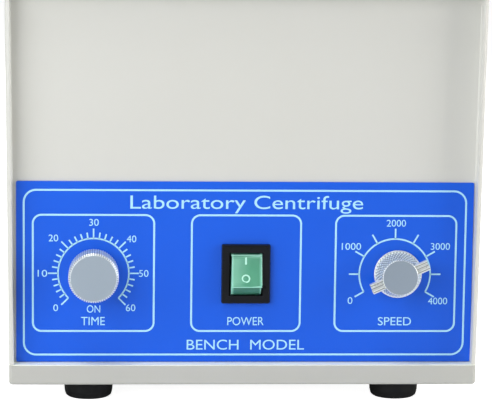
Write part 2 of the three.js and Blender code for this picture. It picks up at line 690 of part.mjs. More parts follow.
function tubeSleeve() {
  const seat = GAP;
  return turned([
    [0, -SLEEVE_DEPTH], [SLEEVE_R - 4, -SLEEVE_DEPTH], [SLEEVE_R, -SLEEVE_DEPTH + 5],
    [SLEEVE_R, seat], [SLEEVE_COLLAR_R, seat], [SLEEVE_COLLAR_R, seat + 2.7],
    [SLEEVE_BORE_R, seat + 2.7], [SLEEVE_BORE_R, -SLEEVE_DEPTH + 6],
    [SLEEVE_BORE_R - 4, -SLEEVE_DEPTH + 1.5], [0, -SLEEVE_DEPTH + 1.5],
  ], SIDES.small);
}

function rotorNut() {
  const low = HUB_HIGH + GAP;
  const nut = turned([
    [0, low], [9.5, low], [10, low + 1], [10, low + 8], [8.5, low + 11], [0, low + 12],
  ], 6);
  return cut(solid(nut), solid(rod(SHAFT_R_MOTOR + BORE_CLEAR, low - 1, SHAFT_HIGH + GAP, SIDES.small)));
}

addPart('rotor', rotorBody(), look.aluminium);
for (let i = 0; i < SLEEVE_COUNT; i++) {
  addPart(`tube_sleeve_${i + 1}`, toSleeve(tubeSleeve(), i), look.steel);
}
addPart('rotor_nut', rotorNut(), look.steel);

// ---- motor --------------------------------------------------------------------------------

function motorCan() {
  const inner = CAN_R - 2;
  const boss = BEARING_R + GAP;
  return turned([
    [inner, CAN_LOW], [CAN_R + 9, CAN_LOW], [CAN_R + 9, CAN_LOW + 2.5], [CAN_R, CAN_LOW + 2.5],
    [CAN_R, CAN_HIGH], [6, CAN_HIGH], [6, CAN_HIGH - 2], [boss, CAN_HIGH - 2],
    [boss, CAN_HIGH - 10], [boss + 2.5, CAN_HIGH - 10], [boss + 2.5, CAN_HIGH - 3],
    [inner, CAN_HIGH - 3],
  ], SIDES.large, true);
}

function motorEndBell() {
  const boss = BEARING_R + GAP;
  const low = CAN_LOW + 0.4;
  return turned([
    [6, low], [CAN_R - 2 - GAP, low], [CAN_R - 2 - GAP, low + 2.6], [boss + 2.5, low + 2.6],
    [boss + 2.5, low + 10], [boss, low + 10], [boss, low + 3], [6, low + 3],
  ], SIDES.large, true);
}

function armature() {
  const bore = SHAFT_R_MOTOR + BORE_CLEAR;
  return turned([
    [bore, 59.5], [12, 59.5], [12, 67.5], [17, 69], [22, 71], [22, 99], [17, 102], [bore, 102],
  ], SIDES.medium, true);
}

// A hub plate with six straight blades under it.
function coolingFan() {
  const plate = solid(tube(SHAFT_R_MOTOR + BORE_CLEAR, 28, 40.5, 42, SIDES.medium));
  const hub = solid(tube(SHAFT_R_MOTOR + BORE_CLEAR, 8, 32, 41, SIDES.small));
  const blades = [];
  for (let i = 0; i < 6; i++) {
    const blade = block([7.5, -0.75, 32], [27, 0.75, 41]).rotateZ(i * Math.PI / 3);
    blades.push(solid(blade));
  }
  return joined(plate, hub, ...blades);
}

function motorPlate() {
  const plate = slab(PLATE_HALF, PLATE_HALF, CORNER, PLATE_LOW, PLATE_LOW + PLATE_THICK);
  return cut(solid(plate), solid(rod(33, PLATE_LOW - 1, CAN_LOW, SIDES.large)));
}

function damper() {
  const [low, high] = [PAN_LOW + PAN_FLOOR + GAP, PLATE_LOW - GAP];
  return turned([
    [0, low], [11, low], [11, low + 4], [7.5, low + 9], [7.5, high - 9], [11, high - 4],
    [11, high], [0, high],
  ], SIDES.small);
}

function bearing(low) {
  return tube(SHAFT_R_MOTOR + BORE_CLEAR, BEARING_R, low, low + BEARING_THICK, SIDES.medium);
}

addPart('motor_can', motorCan(), look.steel);
addPart('motor_end_bell', motorEndBell(), look.aluminium);
addPart('motor_shaft', rod(SHAFT_R_MOTOR, SHAFT_LOW, SHAFT_HIGH, SIDES.small), look.steel);
addPart('armature', armature(), look.copper);
addPart('field_stator', tube(24, CAN_R - 2 - GAP, 69, 101), look.copper);
addPart('bearing_lower', bearing(LOWER_BEARING_LOW), look.steel);
addPart('bearing_upper', bearing(UPPER_BEARING_LOW), look.steel);
addPart('cooling_fan', coolingFan(), look.black);
for (const [side, sign] of [['left', -1], ['right', 1]]) {
  const brush = block([-10.8, -4, -3], [10.8, 4, 3]);
  addPart(`brush_holder_${side}`, brush, look.black).position.set(sign * 23.6, 0, 63.5);
}
addPart('motor_plate', motorPlate(), look.steel);
for (let i = 0; i < 3; i++) {
  const angle = Math.PI / 2 + i * 2 * Math.PI / 3;
  const place = [DAMPER_RADIUS * Math.cos(angle), DAMPER_RADIUS * Math.sin(angle), 0];
  addPart(`damper_${i + 1}`, damper(), look.rubber).position.set(...place);
}

// ---- mains side ---------------------------------------------------------------------------

// Three-pin appliance inlet: flange outside the panel, hollow body through it, three blades.
function mainsInlet() {
  const { x, z } = INLET;
  const near = REAR_FACE + GAP;
  const flange = block([x - 25, near, z - 12], [x + 25, near + 2.5, z + 12]);
  const body = block([x - 13.6, near - 22, z - 9.9], [x + 13.6, near + 1, z + 9.9]);
  const socket = block([x - 12, near - 17, z - 8.2], [x + 12, near + 4, z + 8.2]);
  const blades = [[-7, 0], [0, 4], [7, 0]].map(([dx, dz]) => solid(
    block([x + dx - 1, near - 18, z + dz - 2], [x + dx + 1, near - 1, z + dz + 2])));
  return joined(cut(joined(solid(flange), solid(body)), solid(socket)), ...blades);
}

function fuseHolder() {
  const near = REAR_FACE + GAP;
  const holder = turned([
    [0, -near - 5], [6.5, -near - 5], [7.5, -near - 3.5], [9, -near - 2], [9, -near],
    [6.3, -near], [6.3, -near + 24], [0, -near + 24],
  ], SIDES.medium);
  return toFront(holder, FUSE.x, FUSE.z);
}

// Speed regulator board on four legs, with its larger components.
function controlBoard() {
  const floor = PAN_LOW + PAN_FLOOR + GAP;
  const [x0, x1, y0, y1] = [-112, -44, 28, 104];
  const pieces = [block([x0, y0, 19], [x1, y1, 20.6])];
  for (const x of [x0 + 4, x1 - 4]) {
    for (const y of [y0 + 4, y1 - 4]) {
      pieces.push(block([x - 2.5, y - 2.5, floor], [x + 2.5, y + 2.5, 19.5]));
    }
  }
  pieces.push(block([-106, 34, 20], [-82, 58, 38])); // transformer
  pieces.push(block([-104, 70, 20], [-90, 96, 34])); // relay
  pieces.push(rod(7, 20, 38, SIDES.small).translate(-70, 44, 0)); // smoothing capacitors
  pieces.push(rod(7, 20, 38, SIDES.small).translate(-70, 62, 0));
  pieces.push(block([-78, 84, 20], [-52, 94, 30])); // terminal strip
  return joined(...pieces.map(solid));
}

// Finned heat sink for the regulator, standing on the pan.
function heatSink() {
  const floor = PAN_LOW + PAN_FLOOR + GAP;
  const pieces = [block([20, 88, floor], [70, 92, 40])];
  for (let i = 0; i < 6; i++) {
    const x = 20 + i * 9.6;
    pieces.push(block([x, 91, floor], [x + 2, 108, 40]));
  }
  return joined(...pieces.map(solid));
}

addPart('mains_inlet', mainsInlet(), look.black);
addPart('fuse_holder', fuseHolder(), look.black);
addPart('control_board', controlBoard(), look.board);
addPart('heat_sink', heatSink(), look.aluminium);

export default centrifuge;
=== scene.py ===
"""Looks of the bench centrifuge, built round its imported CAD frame.

Lengths are millimetres in the frame's axes: +X is the operator's right, the front faces -Y, +Z is up.
Every piece takes its place and outer size from the CAD nodes that it stands for.
"""

import json
import math

import bmesh
import bpy
from mathutils import Matrix, Vector


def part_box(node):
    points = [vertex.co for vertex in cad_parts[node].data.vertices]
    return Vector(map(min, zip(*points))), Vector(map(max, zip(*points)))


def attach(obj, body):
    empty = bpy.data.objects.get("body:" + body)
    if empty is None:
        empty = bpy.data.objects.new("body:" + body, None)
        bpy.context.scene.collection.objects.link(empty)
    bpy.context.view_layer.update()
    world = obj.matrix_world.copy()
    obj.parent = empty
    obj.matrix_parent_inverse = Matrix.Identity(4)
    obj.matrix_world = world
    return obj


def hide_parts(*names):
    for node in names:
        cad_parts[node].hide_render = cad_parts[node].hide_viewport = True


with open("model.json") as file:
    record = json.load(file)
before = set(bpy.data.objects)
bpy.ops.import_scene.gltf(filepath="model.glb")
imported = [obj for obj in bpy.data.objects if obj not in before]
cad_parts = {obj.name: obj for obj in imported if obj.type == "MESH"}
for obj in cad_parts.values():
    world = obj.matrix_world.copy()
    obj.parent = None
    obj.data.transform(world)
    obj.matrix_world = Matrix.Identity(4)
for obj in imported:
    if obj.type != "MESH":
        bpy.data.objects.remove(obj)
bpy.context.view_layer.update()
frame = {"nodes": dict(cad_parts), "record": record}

MM = 0.001


def box(node):
    """Lowest and highest corner of a CAD node, in millimetres."""
    low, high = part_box(node)
    return low / MM, high / MM


def middle(node):
    low, high = box(node)
    return (low + high) / 2


def placed(name, data):
    """A new object, linked into the scene."""
    piece = bpy.data.objects.new(name, data)
    bpy.context.scene.collection.objects.link(piece)
    return piece


def as_mesh(name, bm):
    mesh = bpy.data.meshes.new(name)
    bm.to_mesh(mesh)
    bm.free()
    return mesh


# ---- shapes -------------------------------------------------------------------------------

UPRIGHT = Matrix.Identity(4)
FRONTWARD = Matrix.Rotation(math.pi / 2, 4, "X")  # a shape's own +Z turns to the front, -Y
BACKWARD = Matrix.Rotation(-math.pi / 2, 4, "X")  # and here to the back, +Y
ACROSS = Matrix(((0, 0, 1, 0), (1, 0, 0, 0), (0, 1, 0, 0), (0, 0, 0, 1)))  # outlines in (y, z), drawn out along x


def at(x, y, z, turn=UPRIGHT):
    return Matrix.Translation((x, y, z)) @ turn


def rounded(points, closed=True, steps=4):
    """The outline with each corner given as (x, y, radius) turned into an arc."""
    count = len(points)
    outline = []
    for i, (x, y, *radius) in enumerate(points):
        corner = Vector((x, y))
        if not radius or (not closed and i in (0, count - 1)):
            outline.append(corner)
            continue
        before = Vector(points[i - 1][:2]) - corner
        after = Vector(points[(i + 1) % count][:2]) - corner
        half = before.angle(after) / 2
        reach = min(radius[0] / math.tan(half), 0.48 * before.length, 0.48 * after.length)
        start = corner + before.normalized() * reach
        end = corner + after.normalized() * reach
        bulge = reach * math.tan(half)
        centre = corner + (before.normalized() + after.normalized()).normalized() * math.hypot(reach, bulge)
        for k in range(steps + 1):
            way = (start - centre).lerp(end - centre, k / steps)
            outline.append(centre + way.normalized() * bulge)
    return [(p.x, p.y) for p in outline]


def rectangle(half_x, half_y, radius, x=0, y=0, steps=4):
    corners = [(-1, -1), (1, -1), (1, 1), (-1, 1)]
    return rounded([(x + sx * half_x, y + sy * half_y, radius) for sx, sy in corners], steps=steps)


def polar(x, y, radius, angle):
    return x + radius * math.cos(angle), y + radius * math.sin(angle)


def circle(radius, steps=64, x=0, y=0):
    return [polar(x, y, radius, 2 * math.pi * i / steps) for i in range(steps)]


def bridge(bm, low, high):
    """Faces between two rows of vertices that run round a shape."""
    for i in range(len(low)):
        j = (i + 1) % len(low)
        bm.faces.new((low[i], low[j], high[j], high[i]))


def loft(rings, place=UPRIGHT):
    """A closed solid through rings of (x, y, z) points, each with the same number of points."""
    bm = bmesh.new()
    rows = [[bm.verts.new(point) for point in ring] for ring in rings]
    for low, high in zip(rows, rows[1:]):
        bridge(bm, low, high)
    bm.faces.new(rows[0])
    bm.faces.new(rows[-1])
    bmesh.ops.recalc_face_normals(bm, faces=bm.faces)
    bm.transform(place)
    return bm


def prism(outline, low, high, place=UPRIGHT):
    return loft([[(x, y, low) for x, y in outline], [(x, y, high) for x, y in outline]], place)


def block(low, high):
    (x0, y0, z0), (x1, y1, z1) = low, high
    return prism([(x0, y0), (x1, y0), (x1, y1), (x0, y1)], z0, z1)


def turned(profile, place=UPRIGHT, closed=False, steps=96, ripple=None):
    """A solid of revolution from (radius, height) points.

    ripple(angle, radius, height) says how far each point moves out.
    """
    bm = bmesh.new()
    rows = []
    for k in range(steps):
        angle = 2 * math.pi * k / steps
        row = []
        for radius, height in profile:
            r = radius + (ripple(angle, radius, height) if ripple else 0)
            row.append(bm.verts.new((r * math.cos(angle), r * math.sin(angle), height)))
        rows.append(row)
    spans = len(profile) if closed else len(profile) - 1
    for k in range(steps):
        a, b = rows[k], rows[(k + 1) % steps]
        for i in range(spans):
            j = (i + 1) % len(profile)
            bm.faces.new((a[i], b[i], b[j], a[j]))
    bmesh.ops.remove_doubles(bm, verts=bm.verts, dist=1e-4)
    bmesh.ops.recalc_face_normals(bm, faces=bm.faces)
    bm.transform(place)
    return bm


def soften(bm, width, segments=3, sharper_than=35, choose=None):
    """Rounds the edges that are sharper than an angle, in degrees."""
    limit = math.radians(sharper_than)
    edges = [e for e in bm.edges if e.is_manifold and e.calc_face_angle(0) > limit]
    if choose:
        edges = [e for e in edges if choose(e)]
    bmesh.ops.bevel(bm, geom=edges, offset=width, offset_type="OFFSET", segments=segments, profile=0.5,
                    affect="EDGES", clamp_overlap=True)
    return bm


def merged(*parts):
    """Several shapes in one mesh, each left whole."""
    bm = bmesh.new()
    for part in parts:
        mesh = as_mesh("merged", part)
        bm.from_mesh(mesh)
        bpy.data.meshes.remove(mesh)
    return bm


def carved(body, *tools, operation="DIFFERENCE"):
    """The body less the tools, or joined to them with operation UNION."""
    made = [placed("carved", as_mesh("carved", bm)) for bm in (body, *tools)]
    for tool in made[1:]:
        step = made[0].modifiers.new("carve", "BOOLEAN")
        step.operation = operation
        step.solver = "EXACT"
        step.object = tool
    result = made[0].evaluated_get(bpy.context.evaluated_depsgraph_get()).to_mesh()
    bm = bmesh.new()
    bm.from_mesh(result)
    for obj in made:
        mesh = obj.data
        bpy.data.objects.remove(obj)
        bpy.data.meshes.remove(mesh)
    bmesh.ops.remove_doubles(bm, verts=bm.verts, dist=1e-4)
    bmesh.ops.dissolve_limit(bm, angle_limit=math.radians(0.3), verts=bm.verts, edges=bm.edges)
    return bm


def from_cad(node, place=UPRIGHT):
    """The CAD node's own mesh in the axes of place, with its split corners joined again."""
    bm = bmesh.new()
    bm.from_mesh(frame["nodes"][node].data)
    bm.transform(place.inverted() @ Matrix.Diagonal((1 / MM, 1 / MM, 1 / MM, 1)))
    bmesh.ops.remove_doubles(bm, verts=bm.verts, dist=1e-3)
    return bm


def section_of(node, place=UPRIGHT):
    """The (radius, height) outline of a CAD solid of revolution, and whether it is closed.

    Its axis is the Z axis of place.
    """
    bm = from_cad(node, place)
    beside = math.radians(0.02)  # just beside a row of the CAD mesh's corners
    along = Vector((math.cos(beside), math.sin(beside), 0))
    across = Vector((-along.y, along.x, 0))
    everything = bm.verts[:] + bm.edges[:] + bm.faces[:]
    bmesh.ops.bisect_plane(bm, geom=everything, dist=1e-6, plane_co=(0, 0, 0), plane_no=across,
                           clear_inner=True, clear_outer=True)
    bmesh.ops.bisect_plane(bm, geom=bm.verts[:] + bm.edges[:], dist=1e-6, plane_co=(0, 0, 0), plane_no=along,
                           clear_inner=True)
    bmesh.ops.remove_doubles(bm, verts=bm.verts, dist=1e-3)
    ends = [v for v in bm.verts if len(v.link_edges) == 1]
    start = min(ends, key=lambda v: v.co.z) if ends else bm.verts[:][0]
    chain, last = [start], None
    while True:
        tip = chain[-1]
        onward = [e.other_vert(tip) for e in tip.link_edges if e.other_vert(tip) is not last]
        if not onward or onward[0] is start:
            break
        last = tip
        chain.append(onward[0])
    points = [Vector((max(0, v.co.dot(along)), v.co.z)) for v in chain]
    bm.free()
    closed = not ends
    kept = []
    for i, point in enumerate(points):
        inside = closed or 0 < i < len(points) - 1
        before, after = points[i - 1], points[(i + 1) % len(points)]
        if inside and abs((point - before).normalized().cross((after - point).normalized())) < 0.01:
            continue
        kept.append(point)
    return [(p.x, p.y) for p in kept], closed


def respun(node, place=UPRIGHT, fillet=0.35, steps=96):
    """A fine, filleted version of a CAD solid of revolution."""
    points, closed = section_of(node, place)
    outline = rounded([(x, y, fillet) for x, y in points], closed=closed, steps=3)
    return turned(outline, place, closed=closed, steps=steps)


def repaint(bm, index, choose):
    """Gives the faces that choose(middle, normal) picks the piece's material number index."""
    for face in bm.faces:
        if choose(face.calc_center_median(), face.normal):
            face.material_index = index
    return bm


def eased(node, width=0.35, segments=2):
    """A CAD node's own shape with its edges rounded."""
    bm = from_cad(node)
    bmesh.ops.dissolve_limit(bm, angle_limit=math.radians(1), verts=bm.verts, edges=bm.edges)
    return soften(bm, width, segments)


BODY_OF = {node: body for body, nodes in frame["record"]["behaviour"]["bodies"].items() for node in nodes}


def add(name, bm, material, *stands_for, body=None, slot=None, smooth=34):
    """Makes the piece from a shape in millimetres; it rides with the node it stands for, or with body."""
    bm.transform(Matrix.Diagonal((MM, MM, MM, 1)))
    mesh = as_mesh(name, bm)
    materials = material if isinstance(material, (list, tuple)) else [material]
    for entry in materials:
        mesh.materials.append(entry)
    mesh.shade_smooth()
    mesh.set_sharp_from_angle(angle=math.radians(smooth))
    piece = placed(name, mesh)
    flatten = piece.modifiers.new("flat_faces_shade_flat", "WEIGHTED_NORMAL")
    flatten.keep_sharp = True
    with bpy.context.temp_override(object=piece):
        bpy.ops.object.modifier_apply(modifier=flatten.name)
    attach(piece, body or BODY_OF[stands_for[0]])
    if stands_for:
        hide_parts(*stands_for)
    return piece


# ---- materials ----------------------------------------------------------------------------


class Surface:
    """A principled material whose colour, roughness and relief are varied by procedural textures."""

    def __init__(self, name, color, roughness, metallic=0.0, **inputs):
        self.material = bpy.data.materials.new(name)
        self.material.use_nodes = True
        self.nodes = self.material.node_tree.nodes
        self.links = self.material.node_tree.links
        self.shader = self.nodes["Principled BSDF"]
        self.shader.inputs["Base Color"].default_value = (*color, 1)
        self.shader.inputs["Roughness"].default_value = roughness
        self.shader.inputs["Metallic"].default_value = metallic
        for label, value in inputs.items():
            self.shader.inputs[label.replace("_", " ")].default_value = value
        self.place = self.node("ShaderNodeTexCoord").outputs["Object"]
        self.color = color
        self.normal = None

    def node(self, kind, **settings):
        node = self.nodes.new(kind)
        for label, value in settings.items():
            setattr(node, label, value)
        return node

    def noise(self, per_mm, detail=2.0, stretch=(1, 1, 1)):
        """Noise with so many features per millimetre, drawn out along the axes where stretch is small."""
        scale = self.node("ShaderNodeVectorMath", operation="MULTIPLY")
        self.links.new(self.place, scale.inputs[0])
        scale.inputs[1].default_value = [per_mm / MM * s for s in stretch]
        noise = self.node("ShaderNodeTexNoise")
        noise.inputs["Scale"].default_value = 1
        noise.inputs["Detail"].default_value = detail
        self.links.new(scale.outputs[0], noise.inputs["Vector"])
        return noise.outputs["Fac"]

    def remap(self, value, low, high, start=0.3, stop=0.7):
        node = self.node("ShaderNodeMapRange")
        for label, number in (("From Min", start), ("From Max", stop), ("To Min", low), ("To Max", high)):
            node.inputs[label].default_value = number
        self.links.new(value, node.inputs["Value"])
        return node.outputs["Result"]

    def tint(self, value, other):
        """Mixes the base colour towards another one by value."""
        mix = self.node("ShaderNodeMix", data_type="RGBA")
        previous = self.shader.inputs["Base Color"]
        if previous.is_linked:
            self.links.new(previous.links[0].from_socket, mix.inputs[6])
        else:
            mix.inputs[6].default_value = (*self.color, 1)
        mix.inputs[7].default_value = (*other, 1)
        self.links.new(value, mix.inputs[0])
        self.links.new(mix.outputs[2], previous)
        return self

    def vary_roughness(self, value, low, high):
        self.links.new(self.remap(value, low, high), self.shader.inputs["Roughness"])
        return self

    def relief(self, value, depth_mm, strength=1.0):
        bump = self.node("ShaderNodeBump")
        bump.inputs["Strength"].default_value = strength
        bump.inputs["Distance"].default_value = depth_mm * MM
        self.links.new(value, bump.inputs["Height"])
        if self.normal:
            self.links.new(self.normal, bump.inputs["Normal"])
        self.normal = bump.outputs["Normal"]
        self.links.new(self.normal, self.shader.inputs["Normal"])
        return self

    def math(self, operation, *values):
        node = self.node("ShaderNodeMath", operation=operation)
        for socket, value in zip(node.inputs, values):
            if isinstance(value, (int, float)):
                socket.default_value = value
            else:
                self.links.new(value, socket)
        return node.outputs[0]

    def split(self, centre=(0, 0, 0)):
        """X, Y and Z from centre, in millimetres."""
        shift = self.node("ShaderNodeVectorMath", operation="SUBTRACT")
        self.links.new(self.place, shift.inputs[0])
        shift.inputs[1].default_value = [c * MM for c in centre]
        split = self.node("ShaderNodeSeparateXYZ")
        self.links.new(shift.outputs[0], split.inputs[0])
        return [self.math("DIVIDE", split.outputs[label], MM) for label in "XYZ"]

    def flutes(self, centre, count, slant=0.0):
        """0 on the lines that run along a knob's side, straight or slanting, and 1 between them."""
        x, y, z = self.split(centre)
        angle = self.math("MULTIPLY_ADD", y, slant, self.math("ARCTAN2", z, x))
        return self.math("ABSOLUTE", self.math("SINE", self.math("MULTIPLY", angle, count)))

    def edge_wear_and_highlight(self, amount, color):
        """Lightens or darkens along convex edges: edge wear on metal and black plastic, and a painted highlight on
        the rocker.
        """
        geometry = self.node("ShaderNodeNewGeometry")
        edge = self.remap(geometry.outputs["Pointiness"], 0, amount, 0.505, 0.56)
        return self.tint(edge, color)

    def rings(self, centre, per_mm, axis="Z"):
        """Fine turning marks round an axis through centre."""
        first, second = [v for v, label in zip(self.split(centre), "XYZ") if label != axis]
        squares = self.math("MULTIPLY_ADD", first, first, self.math("MULTIPLY", second, second))
        radius = self.math("SQRT", squares)
        noise = self.node("ShaderNodeTexNoise", noise_dimensions="1D")
        noise.inputs["Scale"].default_value = per_mm
        noise.inputs["Detail"].default_value = 1
        self.links.new(radius, noise.inputs["W"])
        return noise.outputs["Fac"]


def drifting(name, color, roughness, per_mm, amount, other, **inputs):
    """A surface whose colour drifts towards another one."""
    surface = Surface(name, color, roughness, **inputs)
    return surface.tint(surface.remap(surface.noise(per_mm), 0, amount), other)


def moulded(name, color, roughness=0.42):
    """Satin moulded plastic: a fine spark-eroded grain and slow colour drift."""
    surface = Surface(name, color, roughness, Specular_IOR_Level=0.45)
    grain = surface.noise(2.2, detail=3)
    drift = surface.noise(0.012, detail=2)
    surface.tint(surface.remap(drift, 0, 0.22), tuple(c * f for c, f in zip(color, (0.96, 0.955, 0.93))))
    surface.vary_roughness(surface.noise(0.05), roughness - 0.05, roughness + 0.06)
    surface.relief(surface.noise(0.03, detail=1), 0.25, 0.25).relief(grain, 0.012, 0.5)
    return surface.material


casing = moulded("casing_plastic", (0.66, 0.665, 0.63))
tray_paint = moulded("tray_paint", (0.52, 0.525, 0.49), 0.46)
# Near-white paint on the tray rim's top faces: a painted highlight along the ledge under the front panel.
rim_painted_highlight = moulded("rim_painted_highlight", (0.93, 0.98, 0.86), 0.3)


def film_material():
    surface = drifting("panel_film", (0.008, 0.115, 0.77), 0.38, 0.02, 0.35, (0.007, 0.098, 0.70),
                       Specular_IOR_Level=0.3)
    surface.vary_roughness(surface.noise(0.3, detail=4), 0.30, 0.40)
    return surface.relief(surface.noise(1.6, detail=3), 0.010, 0.6).material


film = film_material()
ink = drifting("panel_ink", (0.44, 0.80, 1.0), 0.45, 0.9, 0.2, (0.38, 0.74, 0.96)).material


def metal(name, color, roughness, brushed=(1, 1, 1), per_mm=1.0, depth=0.006, metallic=1.0):
    surface = Surface(name, color, roughness, metallic)
    marks = surface.noise(per_mm, detail=4, stretch=brushed)
    surface.vary_roughness(marks, roughness - 0.06, roughness + 0.10)
    surface.tint(surface.remap(surface.noise(0.04), 0, 0.3), tuple(0.82 * c for c in color))
    surface.relief(marks, depth, 0.7)
    surface.edge_wear_and_highlight(0.5, tuple(min(1, 1.18 * c) for c in color))
    return surface.material


def spun(name, color, roughness, centre, axis="Z", per_mm=3.0, depth=0.008, metallic=1.0):
    """Metal with turning marks round an axis."""
    surface = Surface(name, color, roughness, metallic)
    marks = surface.rings(centre, per_mm, axis)
    surface.vary_roughness(marks, roughness - 0.05, roughness + 0.08)
    surface.tint(surface.remap(surface.noise(0.05), 0, 0.25), tuple(0.85 * c for c in color))
    surface.relief(marks, depth, 0.6)
    return surface.material


steel = metal("zinc_plated_steel", (0.48, 0.49, 0.50), 0.47, brushed=(0.1, 1, 1))
ground_steel = metal("ground_steel", (0.68, 0.69, 0.70), 0.22, brushed=(1, 1, 0.05), per_mm=2.0)
cast = metal("cast_aluminium", (0.66, 0.67, 0.68), 0.46, per_mm=0.8, depth=0.02)
zinc = metal("plated_zinc", (0.66, 0.69, 0.69), 0.36, per_mm=0.6, depth=0.003, metallic=0.6)
bowl_steel = spun("spun_steel", (0.70, 0.71, 0.72), 0.30, (0, 0, 0), per_mm=1.6, depth=0.012)
rotor_metal = spun("machined_aluminium", (0.70, 0.71, 0.73), 0.36, (0, 0, 0), per_mm=2.5, depth=0.01)


def rubber_material():
    surface = drifting("black_rubber", (0.006, 0.0065, 0.008), 0.6, 0.15, 0.5, (0.013, 0.013, 0.014),
                       Specular_IOR_Level=0.2)
    return surface.relief(surface.noise(1.8, detail=4), 0.03, 0.5).material


def black_plastic_material():
    surface = Surface("black_nylon", (0.004, 0.0055, 0.008), 0.3, Specular_IOR_Level=0.14)
    surface.vary_roughness(surface.noise(0.4, detail=3), 0.26, 0.4)
    surface.relief(surface.noise(2.5, detail=3), 0.01, 0.5)
    return surface.edge_wear_and_highlight(0.3, (0.03, 0.03, 0.034)).material


rubber = rubber_material()
black = black_plastic_material()

acrylic = Surface("clear_acrylic", (0.93, 0.96, 0.96), 0.03, Transmission_Weight=1.0, IOR=1.49)
clear = acrylic.vary_roughness(acrylic.noise(0.1), 0.01, 0.05).material

enamel = Surface("enamelled_copper", (0.50, 0.20, 0.07), 0.32, 0.85)
copper = enamel.relief(enamel.noise(1.5, stretch=(1, 1, 4)), 0.15, 0.8).material

solder_mask = drifting("solder_mask", (0.02, 0.20, 0.07), 0.35, 0.25, 0.5, (0.03, 0.27, 0.10)).material


# ---- casing -------------------------------------------------------------------------------

PAN_LOW, PAN_HIGH = box("base_pan")
SHELL_LOW, SHELL_HIGH = box("housing_shell")
LABEL_LOW, LABEL_HIGH = box("control_label")
LID_LOW, LID_HIGH = box("lid_shell")
HALF_DEPTH = SHELL_HIGH.y
HALF_WIDTH_LOW = PAN_HIGH.x
HALF_WIDTH_HIGH = SHELL_HIGH.x
GAP = 0.3  # between pieces that face each other
WALL = 3.0
PAN_WALL, PAN_FLOOR = 2.0, 2.5
CHEEK = 2.5  # width of the side walls' front edges, either side of the recess
CORNER = 2.2
FRONT_FACE = LABEL_HIGH.y + GAP  # outside of the recessed front wall
FRONT_INSIDE = FRONT_FACE + WALL
RECESS_HIGH = SHELL_HIGH.z - 9.7
SHELF = 1.7
SLOT_PITCH, VENT_PITCH = 9, 8  # cooling slots in the sides and in the base
SLOT_HALF, SLOT_END = 2, 1.95  # half height and end radius of a cooling slot
SWITCH_CUT_X, SWITCH_CUT_Z = 11.2, 14.3  # half-sizes of the switch's opening
REAR_CUT_X, REAR_CUT_LOW, REAR_CUT_HIGH = 84, 32, 118  # opening behind the rear panel
MOUTH_R, BUSH_HOLE_R, LATCH_HOLE_R = 102, 5, 3.3
TIMER_X, _, DIAL_Z = middle("timer_knob")
SPEED_X = middle("speed_knob").x
SWITCH_X = middle("switch_body").x
REAR_HIGH = box("rear_panel")[1]
LATCH_Y = middle("latch_knob").y
FEET = ("front_left", "front_right", "rear_left", "rear_right")
SCREW_SEAT = 2.8  # height of the screws in the feet


def half_width_at(z):
    share = (z - SHELL_LOW.z) / (SHELL_HIGH.z - SHELL_LOW.z)
    return HALF_WIDTH_LOW + share * (HALF_WIDTH_HIGH - HALF_WIDTH_LOW)


def drafted(inset, front, back, radius, low, high):
    """A block inside the casing's drafted sides, inset from them."""
    middle_y, half_y = (front + back) / 2, (back - front) / 2
    rings = []
    for z in (low, high):
        outline = rectangle(half_width_at(z) - inset, half_y, radius, y=middle_y, steps=6)
        rings.append([(x, y, z) for x, y in outline])
    return loft(rings)


def side_slot_cutters():
    tools = []
    for side in (-1, 1):
        for row in range(5):
            outline = rectangle(40, SLOT_HALF, SLOT_END, 50, 42 + row * SLOT_PITCH, steps=6)
            inner, outer = sorted((side * 110, side * 140))
            tools.append(prism(outline, inner, outer, ACROSS))
    return tools


def housing_shell():
    outside = drafted(0, -HALF_DEPTH, HALF_DEPTH, CORNER, PAN_HIGH.z + 0.05, SHELL_HIGH.z)
    inside = drafted(WALL, FRONT_INSIDE, HALF_DEPTH - WALL, 1, PAN_HIGH.z - 2, SHELL_HIGH.z + 2)
    recess = drafted(CHEEK, -HALF_DEPTH - 12, FRONT_FACE, 0.6, PAN_HIGH.z - 2, RECESS_HIGH)
    reach = HALF_WIDTH_HIGH - WALL - 1.6
    headroom = block((-reach, WALL - HALF_DEPTH, RECESS_HIGH + SHELF),
                     (reach, FRONT_INSIDE + 1, SHELL_HIGH.z + 2))
    rear = block((-REAR_CUT_X, HALF_DEPTH - 10, REAR_CUT_LOW), (REAR_CUT_X, HALF_DEPTH + 1, REAR_CUT_HIGH))
    opening = block((SWITCH_X - SWITCH_CUT_X, -HALF_DEPTH, DIAL_Z - SWITCH_CUT_Z),
                    (SWITCH_X + SWITCH_CUT_X, FRONT_INSIDE + 1, DIAL_Z + SWITCH_CUT_Z))
    bushes = [prism(circle(BUSH_HOLE_R, 32), -FRONT_INSIDE - 1, HALF_DEPTH, at(x, 0, DIAL_Z, FRONTWARD))
              for x in (TIMER_X, SPEED_X)]
    bm = carved(outside, inside, recess, headroom, rear, opening, *bushes, *side_slot_cutters())
    return soften(bm, 0.7, 4, sharper_than=50)


